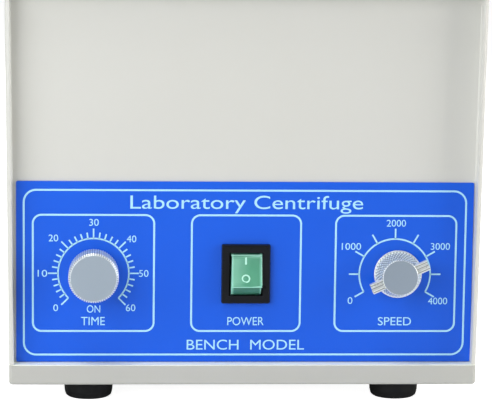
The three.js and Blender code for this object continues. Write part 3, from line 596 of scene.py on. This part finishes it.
def base_pan():
    outline = rectangle(HALF_WIDTH_LOW, HALF_DEPTH, CORNER, steps=6)
    body = prism(outline, PAN_LOW.z, PAN_HIGH.z)
    soften(body, 1.5, 4, 60, choose=lambda e: all(v.co.z < PAN_LOW.z + 0.01 for v in e.verts))
    soften(body, 0.6, 3, 60, choose=lambda e: all(v.co.z > PAN_HIGH.z - 0.01 for v in e.verts))
    bottom, ledge, under = PAN_LOW.z + PAN_FLOOR, FRONT_INSIDE + 1, PAN_HIGH.z - PAN_FLOOR
    front, back = PAN_WALL - HALF_DEPTH, HALF_DEPTH - PAN_WALL
    hollow = prism([
        (front, bottom), (back, bottom), (back, PAN_HIGH.z + 2),
        (ledge, PAN_HIGH.z + 2), (ledge, under), (front, under),
    ], PAN_WALL - HALF_WIDTH_LOW, HALF_WIDTH_LOW - PAN_WALL, ACROSS)
    vents = [prism(rectangle(24, SLOT_HALF, SLOT_END, 0, row * VENT_PITCH, steps=6), PAN_LOW.z - 1, PAN_LOW.z + 5)
             for row in range(-3, 4)]
    bm = carved(body, hollow, *vents)
    return repaint(bm, 1, lambda p, n: n.z > 0.3 and p.z > PAN_HIGH.z - 0.8)  # the rim's top faces, which take the painted highlight


def top_deck():
    low, high = box("top_deck")
    plate = prism(rectangle(high.x, high.y, CORNER, steps=6), low.z, high.z)
    mouth = prism(circle(MOUTH_R, 128), low.z - 1, high.z + 1)
    slot = prism(rectangle(8.5, 4, 1, 3.5, LATCH_Y), low.z - 1, high.z + 1)
    return soften(carved(plate, mouth, slot), 0.5, 3, 50)


def foot_profile(radius, top):
    return rounded([
        (0, SCREW_SEAT), (4.6, SCREW_SEAT, 0.3), (5.2, 0, 0.4), (radius - 2.2, 0, 1.2), (radius - 0.9, 1.0, 1.2),
        (radius - 0.3, 3.4, 2), (radius, top - 0.6, 0.4), (radius - 0.4, top), (0, top),
    ], closed=False)


add("casing_shell", housing_shell(), casing, "housing_shell")
add("base_tray", base_pan(), [tray_paint, rim_painted_highlight], "base_pan")
add("deck_plate", top_deck(), casing, "top_deck")
for foot in FEET:
    centre = middle(f"foot_{foot}")
    profile = foot_profile(box(f"foot_{foot}")[1].x - centre.x, PAN_LOW.z - 0.05)
    add(f"rubber_foot_{foot}", turned(profile, at(centre.x, centre.y, 0)), rubber, f"foot_{foot}")


# ---- screws -------------------------------------------------------------------------------


def screw(place, radius):
    """A domed cross-head screw whose head stands on the origin of place."""
    head = turned(rounded([(0, 0.62 * radius), (0.55 * radius, 0.56 * radius, 1.5),
                           (radius, 0.12 * radius, 0.2), (radius, 0), (0, 0)], closed=False), steps=40)
    arm, half, bottom = 0.55 * radius, 0.14 * radius, 0.2 * radius
    cross = [block((-arm, -half, bottom), (arm, half, radius)), block((-half, -arm, bottom), (half, arm, radius))]
    bm = carved(head, *cross)
    bm.transform(place)
    return bm


def add_screws(name, body, radius, places):
    add(name, merged(*(screw(place, radius) for place in places)), steel, body=body, slot="steel")


LEAF_THICK = 2
LEAF_FACE = box("hinge_case_leaf_left")[0].y + LEAF_THICK
LEAF_LEAN = math.atan(3 / 25.1)  # lean of the lid's back wall


def on_lid_back(x, z):
    """A place on the outside of the lid's hinge leaves, which lean with the lid's back wall."""
    y = LID_HIGH.y - math.tan(LEAF_LEAN) * (z - LID_LOW.z) + GAP + LEAF_THICK
    return at(x, y, z, Matrix.Rotation(LEAF_LEAN - math.pi / 2, 4, "X"))


add_screws("rear_plate_screws", "root", 2.8,
           [at(x, REAR_HIGH.y, z, BACKWARD) for x in (-87, 87) for z in (30.5, 119.5)])
for foot in FEET:
    centre = middle(f"foot_{foot}")
    add_screws(f"foot_screw_{foot}", "root", 3.2,
               [at(centre.x, centre.y, SCREW_SEAT, Matrix.Rotation(math.pi, 4, "X"))])
for side in ("left", "right"):
    x = middle(f"hinge_pin_{side}").x
    lower = ((-14, 204), (0, 210), (14, 204))
    add_screws(f"hinge_case_screws_{side}", "root", 2.4, [at(x + dx, LEAF_FACE, z, BACKWARD) for dx, z in lower])
    add_screws(f"hinge_lid_screws_{side}", "lid", 2.4, [on_lid_back(x + dx, 242) for dx in (-14, 14)])


# ---- control panel ------------------------------------------------------------------------

FILM_FACE = LABEL_LOW.y
LAYOUT_X = 0.6  # middle of the printed layout
LAYOUT_Z = DIAL_Z - 0.3
INK_BACK, INK_FRONT = -FILM_FACE - 0.01, -FILM_FACE + 0.03  # distances to the front


def panel_film():
    z = (LABEL_LOW.z + LABEL_HIGH.z) / 2 - 0.4
    outline = rectangle(LABEL_HIGH.x - 0.2, (LABEL_HIGH.z - LABEL_LOW.z) / 2 + 0.2, 0.8, LAYOUT_X, z)
    sheet = prism(outline, -FRONT_FACE - 0.02, -FILM_FACE, FRONTWARD)
    opening = prism(rectangle(SWITCH_CUT_X, SWITCH_CUT_Z, 0.5, SWITCH_X, DIAL_Z), 100, 130, FRONTWARD)
    bushes = [prism(circle(5.4, 32, x, DIAL_Z), 100, 130, FRONTWARD) for x in (TIMER_X, SPEED_X)]
    return carved(sheet, opening, *bushes)


def inked(outline):
    """A closed outline of (x, z) points printed on the film."""
    return prism(outline, INK_BACK, INK_FRONT, FRONTWARD)


def frame_line(half_x, half_z, radius, x, z, width):
    """A printed rounded rectangle, drawn as a line."""
    outer = rectangle(half_x + width / 2, half_z + width / 2, radius + width / 2, x, z, steps=8)
    inner = rectangle(half_x - width / 2, half_z - width / 2, radius - width / 2, x, z, steps=8)
    bm = bmesh.new()
    rings = [[bm.verts.new((u, v, w)) for u, v in outline] for outline, w in
             ((outer, INK_BACK), (outer, INK_FRONT), (inner, INK_FRONT), (inner, INK_BACK))]
    for low, high in zip(rings, rings[1:] + rings[:1]):
        bridge(bm, low, high)
    bmesh.ops.recalc_face_normals(bm, faces=bm.faces)
    bm.transform(FRONTWARD)
    return bm


def arc_line(x, z, radius, start, stop, width):
    steps = 72
    angles = [math.radians(start + (stop - start) * i / steps) for i in range(steps + 1)]
    outer = [polar(x, z, radius + width / 2, angle) for angle in angles]
    inner = [polar(x, z, radius - width / 2, angle) for angle in angles]
    return inked(outer + inner[::-1])


def tick(x, z, angle, near, far, width):
    """A printed line that points away from (x, z)."""
    way = Vector((math.cos(math.radians(angle)), math.sin(math.radians(angle))))
    side = Vector((-way.y, way.x)) * width / 2
    start, end = Vector((x, z)) + way * near, Vector((x, z)) + way * far
    return inked([(c.x, c.y) for c in (start - side, end - side, end + side, start + side)])


def lettering(text, x, z, cap, width):
    """Printed text, centred on (x, z), with the height of its capitals and its whole width given."""
    curve = bpy.data.curves.new("lettering", "FONT")
    curve.body = text
    curve.size = 1
    curve.resolution_u = 6
    curve.extrude = 0.5
    holder = placed("lettering", curve)
    mesh = holder.evaluated_get(bpy.context.evaluated_depsgraph_get()).to_mesh()
    bm = bmesh.new()
    bm.from_mesh(mesh)
    bpy.data.objects.remove(holder)
    bpy.data.curves.remove(curve)
    left, right = min(v.co.x for v in bm.verts), max(v.co.x for v in bm.verts)
    tall = max(v.co.y for v in bm.verts)
    for v in bm.verts:
        v.co.x = x + ((v.co.x - left) / (right - left) - 0.5) * width
        v.co.y = z + (v.co.y / tall - 0.5) * cap
        v.co.z = INK_FRONT if v.co.z > 0 else INK_BACK
    bm.transform(FRONTWARD)
    return bm


# Box middles and half-sizes, from the middle of the layout.
PRINT_BOXES = [(-79.6, 31.6), (0.35, 28.65), (79.2, 31.8)]
BOX_HIGH, BOX_LOW = 31.2, -30.4
FRAME_HIGH, FRAME_LOW, FRAME_HALF = 44.3, -43.0, 115.9
LINE = 1.0


def dial(x, z, radius, line, start, ticks, numbers, digit_width):
    """A printed arc that runs clockwise from start degrees, with tick lines and numbers round it.

    ticks are the lengths of its lines, spread evenly. numbers gives each number's place from (x, z).
    """
    step = (2 * start - 180) / (len(ticks) - 1)
    parts = [arc_line(x, z, radius, 180 - start, start, line)]
    parts += [tick(x, z, start - step * i, radius, radius + length, line) for i, length in enumerate(ticks)]
    for number, (dx, dz) in numbers.items():
        parts.append(lettering(number, x + dx, z + dz, 3.6, digit_width * len(number)))
    return parts


MINUTES = {"0": (-19.7, -18.3), "10": (-26.6, 0), "20": (-20.9, 18.7), "30": (0.2, 27), "40": (19.8, 18.3),
           "50": (26.3, 0), "60": (19.5, -18.3)}
SPEEDS = {"0": (-23.4, -14.1), "1000": (-23.2, 14.8), "2000": (0.3, 27.2), "3000": (23.9, 14.9),
          "4000": (23.1, -14.3)}


def panel_print():
    x, z = LAYOUT_X, LAYOUT_Z
    half_z, middle_z = (FRAME_HIGH - FRAME_LOW) / 2, (FRAME_HIGH + FRAME_LOW) / 2
    parts = [frame_line(FRAME_HALF, half_z, 6.4, x, z + middle_z, LINE)]
    half_z, middle_z = (BOX_HIGH - BOX_LOW) / 2, (BOX_HIGH + BOX_LOW) / 2
    for box_x, half_x in PRINT_BOXES:
        parts.append(frame_line(half_x, half_z, 4.5, x + box_x, z + middle_z, LINE))
    minute_ticks = [5.2 if i % 5 == 0 else 3.3 for i in range(31)]
    parts += dial(TIMER_X - 0.1, DIAL_Z, 18.5, 0.8, 225, minute_ticks, MINUTES, 2.5)
    parts += dial(SPEED_X - 1.6, DIAL_Z - 0.2, 18.8, 0.85, 210, [5.5] * 9, SPEEDS, 2.55)
    for word in (
        ("Laboratory Centrifuge", x + 0.5, z + 38.1, 7.0, 122), ("BENCH  MODEL", x + 0.5, z - 37.7, 5.3, 62),
        ("TIME", TIMER_X - 0.3, z - 25.1, 4.4, 12.5), ("POWER", SWITCH_X + 0.2, z - 25.1, 4.4, 19.2),
        ("SPEED", SPEED_X - 1.2, z - 25.1, 4.4, 17.6), ("ON", TIMER_X, z - 18.6, 3.9, 7.0),
    ):
        parts.append(lettering(*word))
    return merged(*parts)


add("panel_film", panel_film(), film, "control_label")
add("panel_print", panel_print(), ink, body="root", slot="casing", smooth=20)


BAR_ANGLE = math.radians(24)
BAR_WIDTH, BAR_THICK, BAR_LENGTH = 5.5, 3.0, 32.4


# Knobs: both stand on the film and face the front.

def knob_size(node):
    """The knob's x, how far it stands out from the film, and its radius."""
    low, high = box(node)
    centre = middle(node)
    return centre.x, FILM_FACE - low.y, high.x - centre.x


def shade_knob(bm, x, face_radius):
    """Brushed face, bright cut edges and knurled side as the piece's materials 0, 1 and 2."""
    def away(p):
        return math.hypot(p.x - x, p.z - DIAL_Z)
    bm.normal_update()
    repaint(bm, 1, lambda p, n: away(p) > face_radius - 0.4 and abs(n.y) > 0.25)
    return repaint(bm, 2, lambda p, n: abs(n.y) < 0.62 and away(p) > face_radius * 0.9)


def timer_knob():
    x, height, radius = knob_size("timer_knob")
    teeth, depth = 66, 0.42

    def ripple(angle, r, _height):
        if r < radius - 0.05:
            return 0
        return -depth * (1 - abs(math.sin(angle * teeth / 2)) ** 0.8)
    profile = rounded([
        (0, 0.1), (radius - 0.9, 0.1, 0.2), (radius - 0.6, 0.5), (radius, 1.1), (radius, height - 1.3),
        (radius - 0.7, height - 0.6), (radius - 1.1, height, 0.25), (0, height),
    ], closed=False)
    bm = turned(profile, at(x, FILM_FACE, DIAL_Z, FRONTWARD), steps=teeth * 6, ripple=ripple)
    return shade_knob(bm, x, radius - 1.2)


def speed_knob():
    x, height, base = knob_size("speed_knob")
    face = 0.72 * base
    flange = 1.3
    waves, twist, depth = 22, 0.5, 0.55
    cone_low, cone_high = flange + 0.5, height - 1.0

    def ripple(angle, r, h):
        if not cone_low - 0.01 <= h <= cone_high + 0.01 or r > base - 0.3:
            return 0
        fade = min(1, (h - cone_low) / 0.8, (cone_high - h) / 0.8)
        left = abs(math.sin(waves * (angle + twist * h / base)))
        right = abs(math.sin(waves * (angle - twist * h / base)))
        return -depth * max(0, fade) * (1 - min(left, right))
    rows = 32
    cone = [(base - 0.8 + (face + 0.5 - base + 0.8) * k / rows, cone_low + (cone_high - cone_low) * k / rows)
            for k in range(rows + 1)]
    foot = [(0, 0.1), (base - 0.3, 0.1, 0.2), (base, 0.5, 0.2), (base, flange, 0.3), (base - 0.7, flange + 0.1)]
    top = [(face + 0.4, height - 0.6), (face + 0.1, height, 0.3), (0, height)]
    profile = rounded(foot, closed=False) + cone + rounded(top, closed=False)
    bm = turned(profile, at(x, FILM_FACE, DIAL_Z, FRONTWARD), steps=waves * 16, ripple=ripple)
    bm = carved(bm, bar_block(40, BAR_WIDTH + 2 * GAP, BAR_THICK + 2 * GAP))
    return shade_knob(bm, x, face)


def bar_block(length, width, thick):
    y = middle("knob_pointer_bar").y
    bm = block((-length / 2, -thick / 2, -width / 2), (length / 2, thick / 2, width / 2))
    bm.transform(at(SPEED_X, y, DIAL_Z) @ Matrix.Rotation(-BAR_ANGLE, 4, "Y"))
    return bm


def pointer_bar():
    """A flat bar with a groove along its face, between two ridges."""
    half, thick, width = BAR_LENGTH / 2, BAR_THICK / 2, BAR_WIDTH / 2
    y = middle("knob_pointer_bar").y
    corners = [(-width, thick), (-width, -thick), (-width + 1.5, -thick), (-width + 1.9, -thick + 0.9),
               (width - 1.9, -thick + 0.9), (width - 1.5, -thick), (width, -thick), (width, thick)]
    section = rounded([(u, v, 0.3) for u, v in corners], steps=3)
    lie = at(SPEED_X, y, DIAL_Z) @ Matrix.Rotation(-BAR_ANGLE, 4, "Y") @ ACROSS
    bm = prism([(v, u) for u, v in section], -half, half, lie)
    return soften(bm, 0.35, 3, 60)


ANODISED = 0.45  # how metallic the knobs look
knob_edge = metal("knob_cut_edge", (0.86, 0.90, 0.95), 0.30, metallic=0.5)


def knob_face(name, color, x):
    return spun(name, color, 0.42, (x, 0, DIAL_Z), "Y", 2.2, 0.004, ANODISED)


def knurled(name, color, x, count, slants):
    """Metal whose knurl lines are darker than the ridges between them: painted shade in the knurl's grooves."""
    surface = Surface(name, color, 0.34, ANODISED)
    surface.vary_roughness(surface.noise(0.6), 0.26, 0.42)
    lines = [surface.flutes((x, FILM_FACE, DIAL_Z), count, slant) for slant in slants]
    lowest = lines[0] if len(lines) == 1 else surface.math("MINIMUM", *lines)
    # painted shade along the knurl grooves
    surface.tint(surface.remap(lowest, 0.85, 0, 0.12, 0.55), tuple(0.16 * c for c in color))
    return surface.material


timer_face = knob_face("anodised_timer_knob", (0.40, 0.48, 0.56), TIMER_X)
speed_face = knob_face("anodised_speed_knob", (0.33, 0.40, 0.48), SPEED_X)
timer_side = knurled("timer_knurl", (0.70, 0.80, 0.80), TIMER_X, 33, [0])
speed_side = knurled("speed_knurl", (0.90, 0.98, 0.86), SPEED_X, 22, [0.04, -0.04])
add("timer_knob_knurled", timer_knob(), [timer_face, knob_edge, timer_side], "timer_knob", smooth=24)
add("speed_knob_knurled", speed_knob(), [speed_face, knob_edge, speed_side], "speed_knob", smooth=24)


def zinc_with_painted_groove_shade():
    """Zinc with dark lengthwise stripes on the bar's face: painted shade for its grooves."""
    surface = Surface("zinc_with_painted_groove_shade", (0.80, 0.84, 0.84), 0.32, 0.5)
    surface.vary_roughness(surface.noise(0.5), 0.26, 0.40)
    x, _, z = surface.split((SPEED_X, 0, DIAL_Z))
    lift = surface.math("MULTIPLY", z, math.cos(BAR_ANGLE))
    across = surface.math("MULTIPLY_ADD", x, -math.sin(BAR_ANGLE), lift)
    groove_shade = surface.math("ABSOLUTE", surface.math("SINE", surface.math("MULTIPLY", across, 1.75)))
    # painted shade in lines along the bar
    surface.tint(surface.remap(groove_shade, 0.8, 0, 0.15, 0.5), (0.10, 0.12, 0.12))
    return surface.material


add("pointer_bar", pointer_bar(), zinc_with_painted_groove_shade(), "knob_pointer_bar")


PIVOT_Y = box("switch_body")[0].y + 7
ROCKER_X = SWITCH_X + 0.25
ROCKER_RADIUS, ROCKER_HALF = 12.3, 7.7
RIDGE, TILT = 42.5, 12.8  # degrees from the rocker's middle to its ridges, and its lean at rest


# Rocker switch.

def switch_bezel():
    low, high = box("switch_body")
    bezel_x, bezel_z = (high.x - low.x) / 2, (high.z - low.z) / 2
    front, film_side = low.y, FILM_FACE - 0.02
    x, z = SWITCH_X, DIAL_Z
    rings = []
    for inset, share in ((0, 0), (0, 0.55), (0.35, 0.9), (1.0, 1.0)):  # from the film to the face
        out = -film_side + (film_side - front) * share
        rings.append([(u, v, out) for u, v in rectangle(bezel_x - inset, bezel_z - inset, 0.9, x, z)])
    bezel = loft(rings, FRONTWARD)
    neck = prism(rectangle(10.8, 13.9, 0.6, x, z), -high.y + 8, -film_side + 0.4, FRONTWARD)
    mouth = prism(rectangle(8.95, 11.4, 0.5, x, z), -front - 1.3, -front + 2, FRONTWARD)
    well = prism(circle(12.7, 96, PIVOT_Y, DIAL_Z), x - 8.55, x + 8.55, ACROSS)
    body = carved(bezel, neck, operation="UNION")
    return soften(carved(body, mouth, well), 0.25, 2, 50)


def rocker_side_view():
    def point(angle, radius=ROCKER_RADIUS):
        a = math.radians(angle)
        return PIVOT_Y - radius * math.cos(a), DIAL_Z + radius * math.sin(a)
    reach = ROCKER_RADIUS * math.cos(math.radians(RIDGE))
    outline = [point(100 + (RIDGE - 100) * i / 12 + TILT) for i in range(13)]
    face_half = ROCKER_RADIUS * math.sin(math.radians(RIDGE))
    for i in range(1, 16):
        share = 1 - i / 8  # from the upper ridge to the lower one
        along = face_half * share
        depth = reach - 0.95 * (1 - share * share)
        outline.append(point(TILT + math.degrees(math.atan2(along, depth)), math.hypot(along, depth)))
    outline += [point(-RIDGE + (RIDGE - 100) * i / 12 + TILT) for i in range(13)]
    return outline


def rocker_cap():
    outline = rocker_side_view()
    bm = prism(outline, ROCKER_X - ROCKER_HALF, ROCKER_X + ROCKER_HALF, ACROSS)
    return soften(bm, 0.45, 3, 40)


def rocker_marks():
    """The raised I and O on the rocker's face, which is hollow, so the I leans a little."""
    reach = ROCKER_RADIUS * math.cos(math.radians(RIDGE)) - 0.7
    place = at(SWITCH_X - 0.1, PIVOT_Y, DIAL_Z) @ Matrix.Rotation(math.radians(-TILT), 4, "X") @ FRONTWARD
    bar = prism(rectangle(0.5, 2.0, 0.45), -0.35, 0.3, place @ at(0, 5.45, reach, Matrix.Rotation(0.11, 4, "X")))
    ring_profile = rounded([(1.45, -0.2), (2.25, -0.2), (2.25, 0.25, 0.2), (1.45, 0.25, 0.2)])
    ring = turned(ring_profile, place @ Matrix.Translation((0, -3.9, reach)), closed=True, steps=48)
    return merged(bar, ring)


def rocker_material():
    """Translucent green, with a painted highlight that makes it paler along the cap's sides, ridges and convex
    edges, and painted shade that makes it darker beyond the ridges.
    """
    surface = Surface("rocker_green", (0.10, 0.35, 0.225), 0.34, Specular_IOR_Level=0.35,
                      Subsurface_Weight=0.35, Subsurface_Scale=0.002)
    surface.shader.inputs["Subsurface Radius"].default_value = (0.5, 1.0, 0.7)
    x, y, z = surface.split((ROCKER_X, PIVOT_Y, DIAL_Z))
    angle = surface.math("ARCTAN2", z, surface.math("MULTIPLY", y, -1))
    from_middle = surface.math("ABSOLUTE", surface.math("SUBTRACT", angle, math.radians(TILT)))
    past = surface.math("SUBTRACT", from_middle, math.radians(RIDGE))
    edge = surface.math("ABSOLUTE", past)
    side = surface.math("ABSOLUTE", x)
    surface.tint(surface.remap(surface.noise(0.25, stretch=(1, 1, 0.3)), 0, 0.5), (0.14, 0.43, 0.285))
    # painted shade beyond the ridges
    surface.tint(surface.remap(past, 0, 0.85, 0.0, 0.02), (0.045, 0.20, 0.14))
    # painted highlight along both ridges
    surface.tint(surface.remap(edge, 0.85, 0, 0.006, 0.018), (0.42, 0.86, 0.70))
    # painted highlight along the cap's sides
    surface.tint(surface.remap(side, 0, 0.7, ROCKER_HALF - 1.1, ROCKER_HALF - 0.4), (0.32, 0.74, 0.58))
    # painted highlight along the cap's convex edges
    surface.edge_wear_and_highlight(0.3, (0.50, 0.92, 0.76))
    return surface.material


marks = drifting("rocker_marks", (0.55, 0.95, 0.80), 0.3, 0.8, 0.3, (0.45, 0.88, 0.70)).material
add("switch_bezel", switch_bezel(), black, "switch_body")
add("rocker_cap", rocker_cap(), rocker_material(), "switch_rocker", smooth=40)
add("rocker_marks", rocker_marks(), marks, body="rocker", slot="rocker_green")


# ---- lid ----------------------------------------------------------------------------------

LID_DRAFT = 3.0
WINDOW_HOLE_R = 46.0


def lid_block(inset, radius, low, high):
    """A block inside the lid's leaning sides."""
    rings = []
    for z in (low, high):
        lean = LID_DRAFT * (z - LID_LOW.z) / (LID_HIGH.z - LID_LOW.z)
        outline = rectangle(LID_HIGH.x - inset - lean, LID_HIGH.y - inset - lean, radius, steps=8)
        rings.append([(x, y, z) for x, y in outline])
    return loft(rings)


def lid_holes(low, high):
    """Cutters for the window and the latch shaft."""
    window, latch = circle(WINDOW_HOLE_R + GAP, 128), circle(LATCH_HOLE_R, 32, 0, LATCH_Y)
    return prism(window, low, high), prism(latch, low, high)


def lid_shell():
    outside = lid_block(0, 5, LID_LOW.z, LID_HIGH.z)
    soften(outside, 3.2, 6, 60, choose=lambda e: all(v.co.z > LID_HIGH.z - 0.01 for v in e.verts))
    inside = lid_block(WALL, 3, LID_LOW.z - 2, LID_HIGH.z - WALL)
    r, top = WINDOW_HOLE_R, LID_HIGH.z
    rim = turned(rounded([(r, top - 1), (r, top + 1.0, 0.4), (r + 3.5, top + 1.0, 0.8), (r + 5.5, top - 0.2, 0.5),
                          (r + 5.5, top - 1)]), closed=True, steps=128)
    body = carved(carved(outside, rim, operation="UNION"), inside, *lid_holes(LID_LOW.z, LID_HIGH.z + 4))
    return soften(body, 0.5, 3, 55)


def lid_liner():
    low, high = box("lid_liner")
    plate = prism(rectangle(high.x, high.y, 3, steps=6), low.z, high.z)
    return soften(carved(plate, *lid_holes(low.z - 1, high.z + 1)), 0.4, 2, 55)


def latch_knob():
    low, high = box("latch_knob")
    base = low.z - 0.25
    disc = turned(rounded([(0, 0), (9, 0, 0.3), (9, 2.2, 1.0), (7.6, 3.1, 0.8), (0, 3.1)], closed=False),
                  at(0, LATCH_Y, base))
    grip = prism(rounded([(-8.2, -1.6, 1.2), (0, -2.9, 3), (8.2, -1.6, 1.2), (8.2, 1.6, 1.2), (0, 2.9, 3),
                          (-8.2, 1.6, 1.2)]), 1, high.z - base, at(0, LATCH_Y, base))
    soften(grip, 0.8, 4, 60, choose=lambda e: all(v.co.z > high.z - 0.01 for v in e.verts))
    return soften(carved(disc, grip, operation="UNION"), 0.3, 2, 40)


add("lid_moulding", lid_shell(), casing, "lid_shell")
add("lid_inner_panel", lid_liner(), casing, "lid_liner")
add("lid_pane", respun("lid_window", fillet=0.5, steps=128), clear, "lid_window")
add("window_retainer", respun("window_ring", fillet=0.4, steps=128), casing, "window_ring")
add("lid_seal", respun("lid_gasket", fillet=0.8, steps=128), rubber, "lid_gasket")
add("latch_grip", latch_knob(), black, "latch_knob")
add("latch_shaft_cam", eased("latch_cam", 0.3), zinc, "latch_cam")
add("latch_plate", eased("latch_keeper", 0.3), steel, "latch_keeper")

_, hinge_y, hinge_z = middle("hinge_pin_left")
for side in ("left", "right"):
    x = middle(f"hinge_pin_{side}").x
    add(f"hinge_lower_leaf_{side}", eased(f"hinge_case_leaf_{side}", 0.3), steel, f"hinge_case_leaf_{side}")
    add(f"hinge_upper_leaf_{side}", eased(f"hinge_lid_leaf_{side}", 0.3), steel, f"hinge_lid_leaf_{side}")
    along_x = at(x, hinge_y, hinge_z, Matrix.Rotation(math.pi / 2, 4, "Y"))
    add(f"hinge_rod_{side}", respun(f"hinge_pin_{side}", along_x, 0.4, 48), ground_steel, f"hinge_pin_{side}")


# ---- chamber and rotor --------------------------------------------------------------------

SLEEVE_TILT = math.radians(35)
SLEEVE_SEAT = (41.0, 0.0, 212.0)


def sleeve_place(index):
    """Axes of sleeve number index, mouth upwards."""
    seat = Matrix.Translation(SLEEVE_SEAT) @ Matrix.Rotation(-SLEEVE_TILT, 4, "Y")
    return Matrix.Rotation(index * math.pi / 3, 4, "Z") @ seat


def rotor_body():
    points, closed = section_of("rotor", Matrix.Rotation(math.radians(30), 4, "Z"))
    body = turned(rounded([(x, y, 0.6) for x, y in points], closed=closed, steps=4), closed=closed, steps=144)
    tools = []
    for i in range(6):
        tools.append(prism(circle(12.8, 64), -30, 30, sleeve_place(i)))
        tools.append(prism(circle(15.0, 64), 0, 30, sleeve_place(i)))
    return soften(carved(body, *tools), 0.3, 2, 40)


def rotor_nut():
    low, high = box("rotor_nut")
    nut = turned(rounded([(0, low.z), (9.5, low.z, 0.3), (10, low.z + 1, 0.5), (10, low.z + 8, 0.8),
                          (8.5, low.z + 11, 1), (4, high.z, 0.3), (0, high.z)], closed=False), steps=6)
    return soften(nut, 0.6, 3, 20)


add("chamber_liner", respun("chamber_bowl", fillet=1.2, steps=160), bowl_steel, "chamber_bowl")
add("shaft_grommet", respun("shaft_seal", fillet=0.5), rubber, "shaft_seal")
add("rotor_dish", rotor_body(), rotor_metal, "rotor")
for i in range(6):
    node = f"tube_sleeve_{i + 1}"
    add(f"tube_holder_{i + 1}", respun(node, sleeve_place(i), 0.5, 72), ground_steel, node)
add("rotor_top_nut", rotor_nut(), ground_steel, "rotor_nut")


# ---- motor and mains side -----------------------------------------------------------------

SPUN_UPRIGHT = {
    "motor_can": ("motor_casing", steel), "motor_end_bell": ("motor_end_cap", cast),
    "motor_shaft": ("rotor_spindle", ground_steel), "armature": ("armature_winding", copper),
    "field_stator": ("field_winding", copper), "bearing_lower": ("ball_bearing_lower", ground_steel),
    "bearing_upper": ("ball_bearing_upper", ground_steel),
}
for node, (name, material) in SPUN_UPRIGHT.items():
    add(name, respun(node, fillet=0.5), material, node)
for i in range(1, 4):
    node = f"damper_{i}"
    centre = middle(node)
    add(f"rubber_damper_{i}", respun(node, at(centre.x, centre.y, 0), 0.8, 64), rubber, node)
EASED = {
    "motor_plate": ("motor_mount_plate", steel), "cooling_fan": ("fan_wheel", black),
    "brush_holder_left": ("brush_box_left", black), "brush_holder_right": ("brush_box_right", black),
    "timer_body": ("timer_mechanism", black), "speed_control": ("speed_potentiometer", steel),
    "control_board": ("regulator_board", solder_mask), "heat_sink": ("finned_heat_sink", cast),
    "mains_inlet": ("appliance_inlet", black), "rear_panel": ("rear_plate", casing),
}
for node, (name, material) in EASED.items():
    add(name, eased(node, 0.3), material, node)
for node, name in (("timer_shaft", "timer_spindle"), ("speed_shaft", "speed_spindle")):
    centre = middle(node)
    add(name, respun(node, at(centre.x, 0, centre.z, FRONTWARD), 0.4, 48), ground_steel, node)
centre = middle("fuse_holder")
fuse_axis = at(centre.x, 0, centre.z, FRONTWARD)
add("fuse_cap_and_body", respun("fuse_holder", fuse_axis, 0.5, 64), black, "fuse_holder")


# ---- studio -------------------------------------------------------------------------------

CAMERA_AT = Vector((-74.6, -1325.0, 278.3)) * MM
CAMERA_PITCH, CAMERA_YAW, CAMERA_ROLL = (math.radians(a) for a in (8.154, 3.559, 0.708))
LENS = 171.0


def camera():
    level_part = math.cos(CAMERA_PITCH)
    forward = Vector((math.sin(CAMERA_YAW) * level_part, math.cos(CAMERA_YAW) * level_part, -math.sin(CAMERA_PITCH)))
    level = forward.cross(Vector((0, 0, 1))).normalized()
    lift = level.cross(forward)
    right = level * math.cos(CAMERA_ROLL) + lift * math.sin(CAMERA_ROLL)
    up = lift * math.cos(CAMERA_ROLL) - level * math.sin(CAMERA_ROLL)
    data = bpy.data.cameras.new("camera")
    data.sensor_width = 36
    data.lens = LENS
    data.clip_end = 20
    eye = placed("camera", data)
    eye.matrix_world = Matrix.Translation(CAMERA_AT) @ Matrix((right, up, -forward)).transposed().to_4x4()
    bpy.context.scene.camera = eye


def softbox(name, place, aim, width, height, power, color=(1, 1, 1)):
    data = bpy.data.lights.new(name, "AREA")
    data.shape = "RECTANGLE"
    data.size, data.size_y = width, height
    data.energy = power
    data.color = color
    lamp = placed(name, data)
    lamp.location = place
    lamp.rotation_euler = (Vector(aim) - Vector(place)).to_track_quat("-Z", "Y").to_euler()


def seen_level(tree, socket, level, seen):
    """Gives the socket one value for the light it casts and another for how bright it looks."""
    path = tree.nodes.new("ShaderNodeLightPath")
    switch = tree.nodes.new("ShaderNodeMapRange")
    switch.inputs["To Min"].default_value = level
    switch.inputs["To Max"].default_value = seen
    tree.links.new(path.outputs["Is Camera Ray"], switch.inputs["Value"])
    tree.links.new(switch.outputs["Result"], socket)


def studio():
    world = bpy.data.worlds.new("studio")
    bpy.context.scene.world = world
    world.use_nodes = True
    tree = world.node_tree
    back = tree.nodes["Background"]
    back.inputs["Color"].default_value = (1, 1, 1, 1)
    seen_level(tree, back.inputs["Strength"], 0.04, 1.05)
    softbox("key", (-0.95, -0.95, 0.62), (0, -0.1, 0.12), 1.2, 1.0, 15.2)
    softbox("fill", (1.65, -0.52, 0.5), (0, -0.1, 0.12), 0.7, 0.9, 21, (1, 0.975, 0.94))
    softbox("top", (-0.3, -0.42, 1.6), (-0.05, -0.12, 0), 0.7, 0.4, 8)
    softbox("rear", (0.5, 1.5, 1.1), (0, 0, 0.1), 1.6, 1.0, 22)


def floor():
    mesh = bpy.data.meshes.new("floor")
    reach = 6
    corners = [(-reach, -reach, 0), (reach, -reach, 0), (reach, reach, 0), (-reach, reach, 0)]
    mesh.from_pydata(corners, [], [(0, 1, 2, 3)])
    surface = Surface("pale_floor", (0.93, 0.93, 0.93), 0.6, Specular_IOR_Level=0.2)
    surface.shader.inputs["Emission Color"].default_value = (1, 1, 1, 1)
    seen_level(surface.material.node_tree, surface.shader.inputs["Emission Strength"], 0, 0.93)
    surface.tint(surface.remap(surface.noise(0.004), 0, 0.3), (0.95, 0.95, 0.95))
    mesh.materials.append(surface.material)
    placed("floor", mesh)


camera()
studio()
floor()
bpy.context.scene.view_settings.view_transform = "Standard"
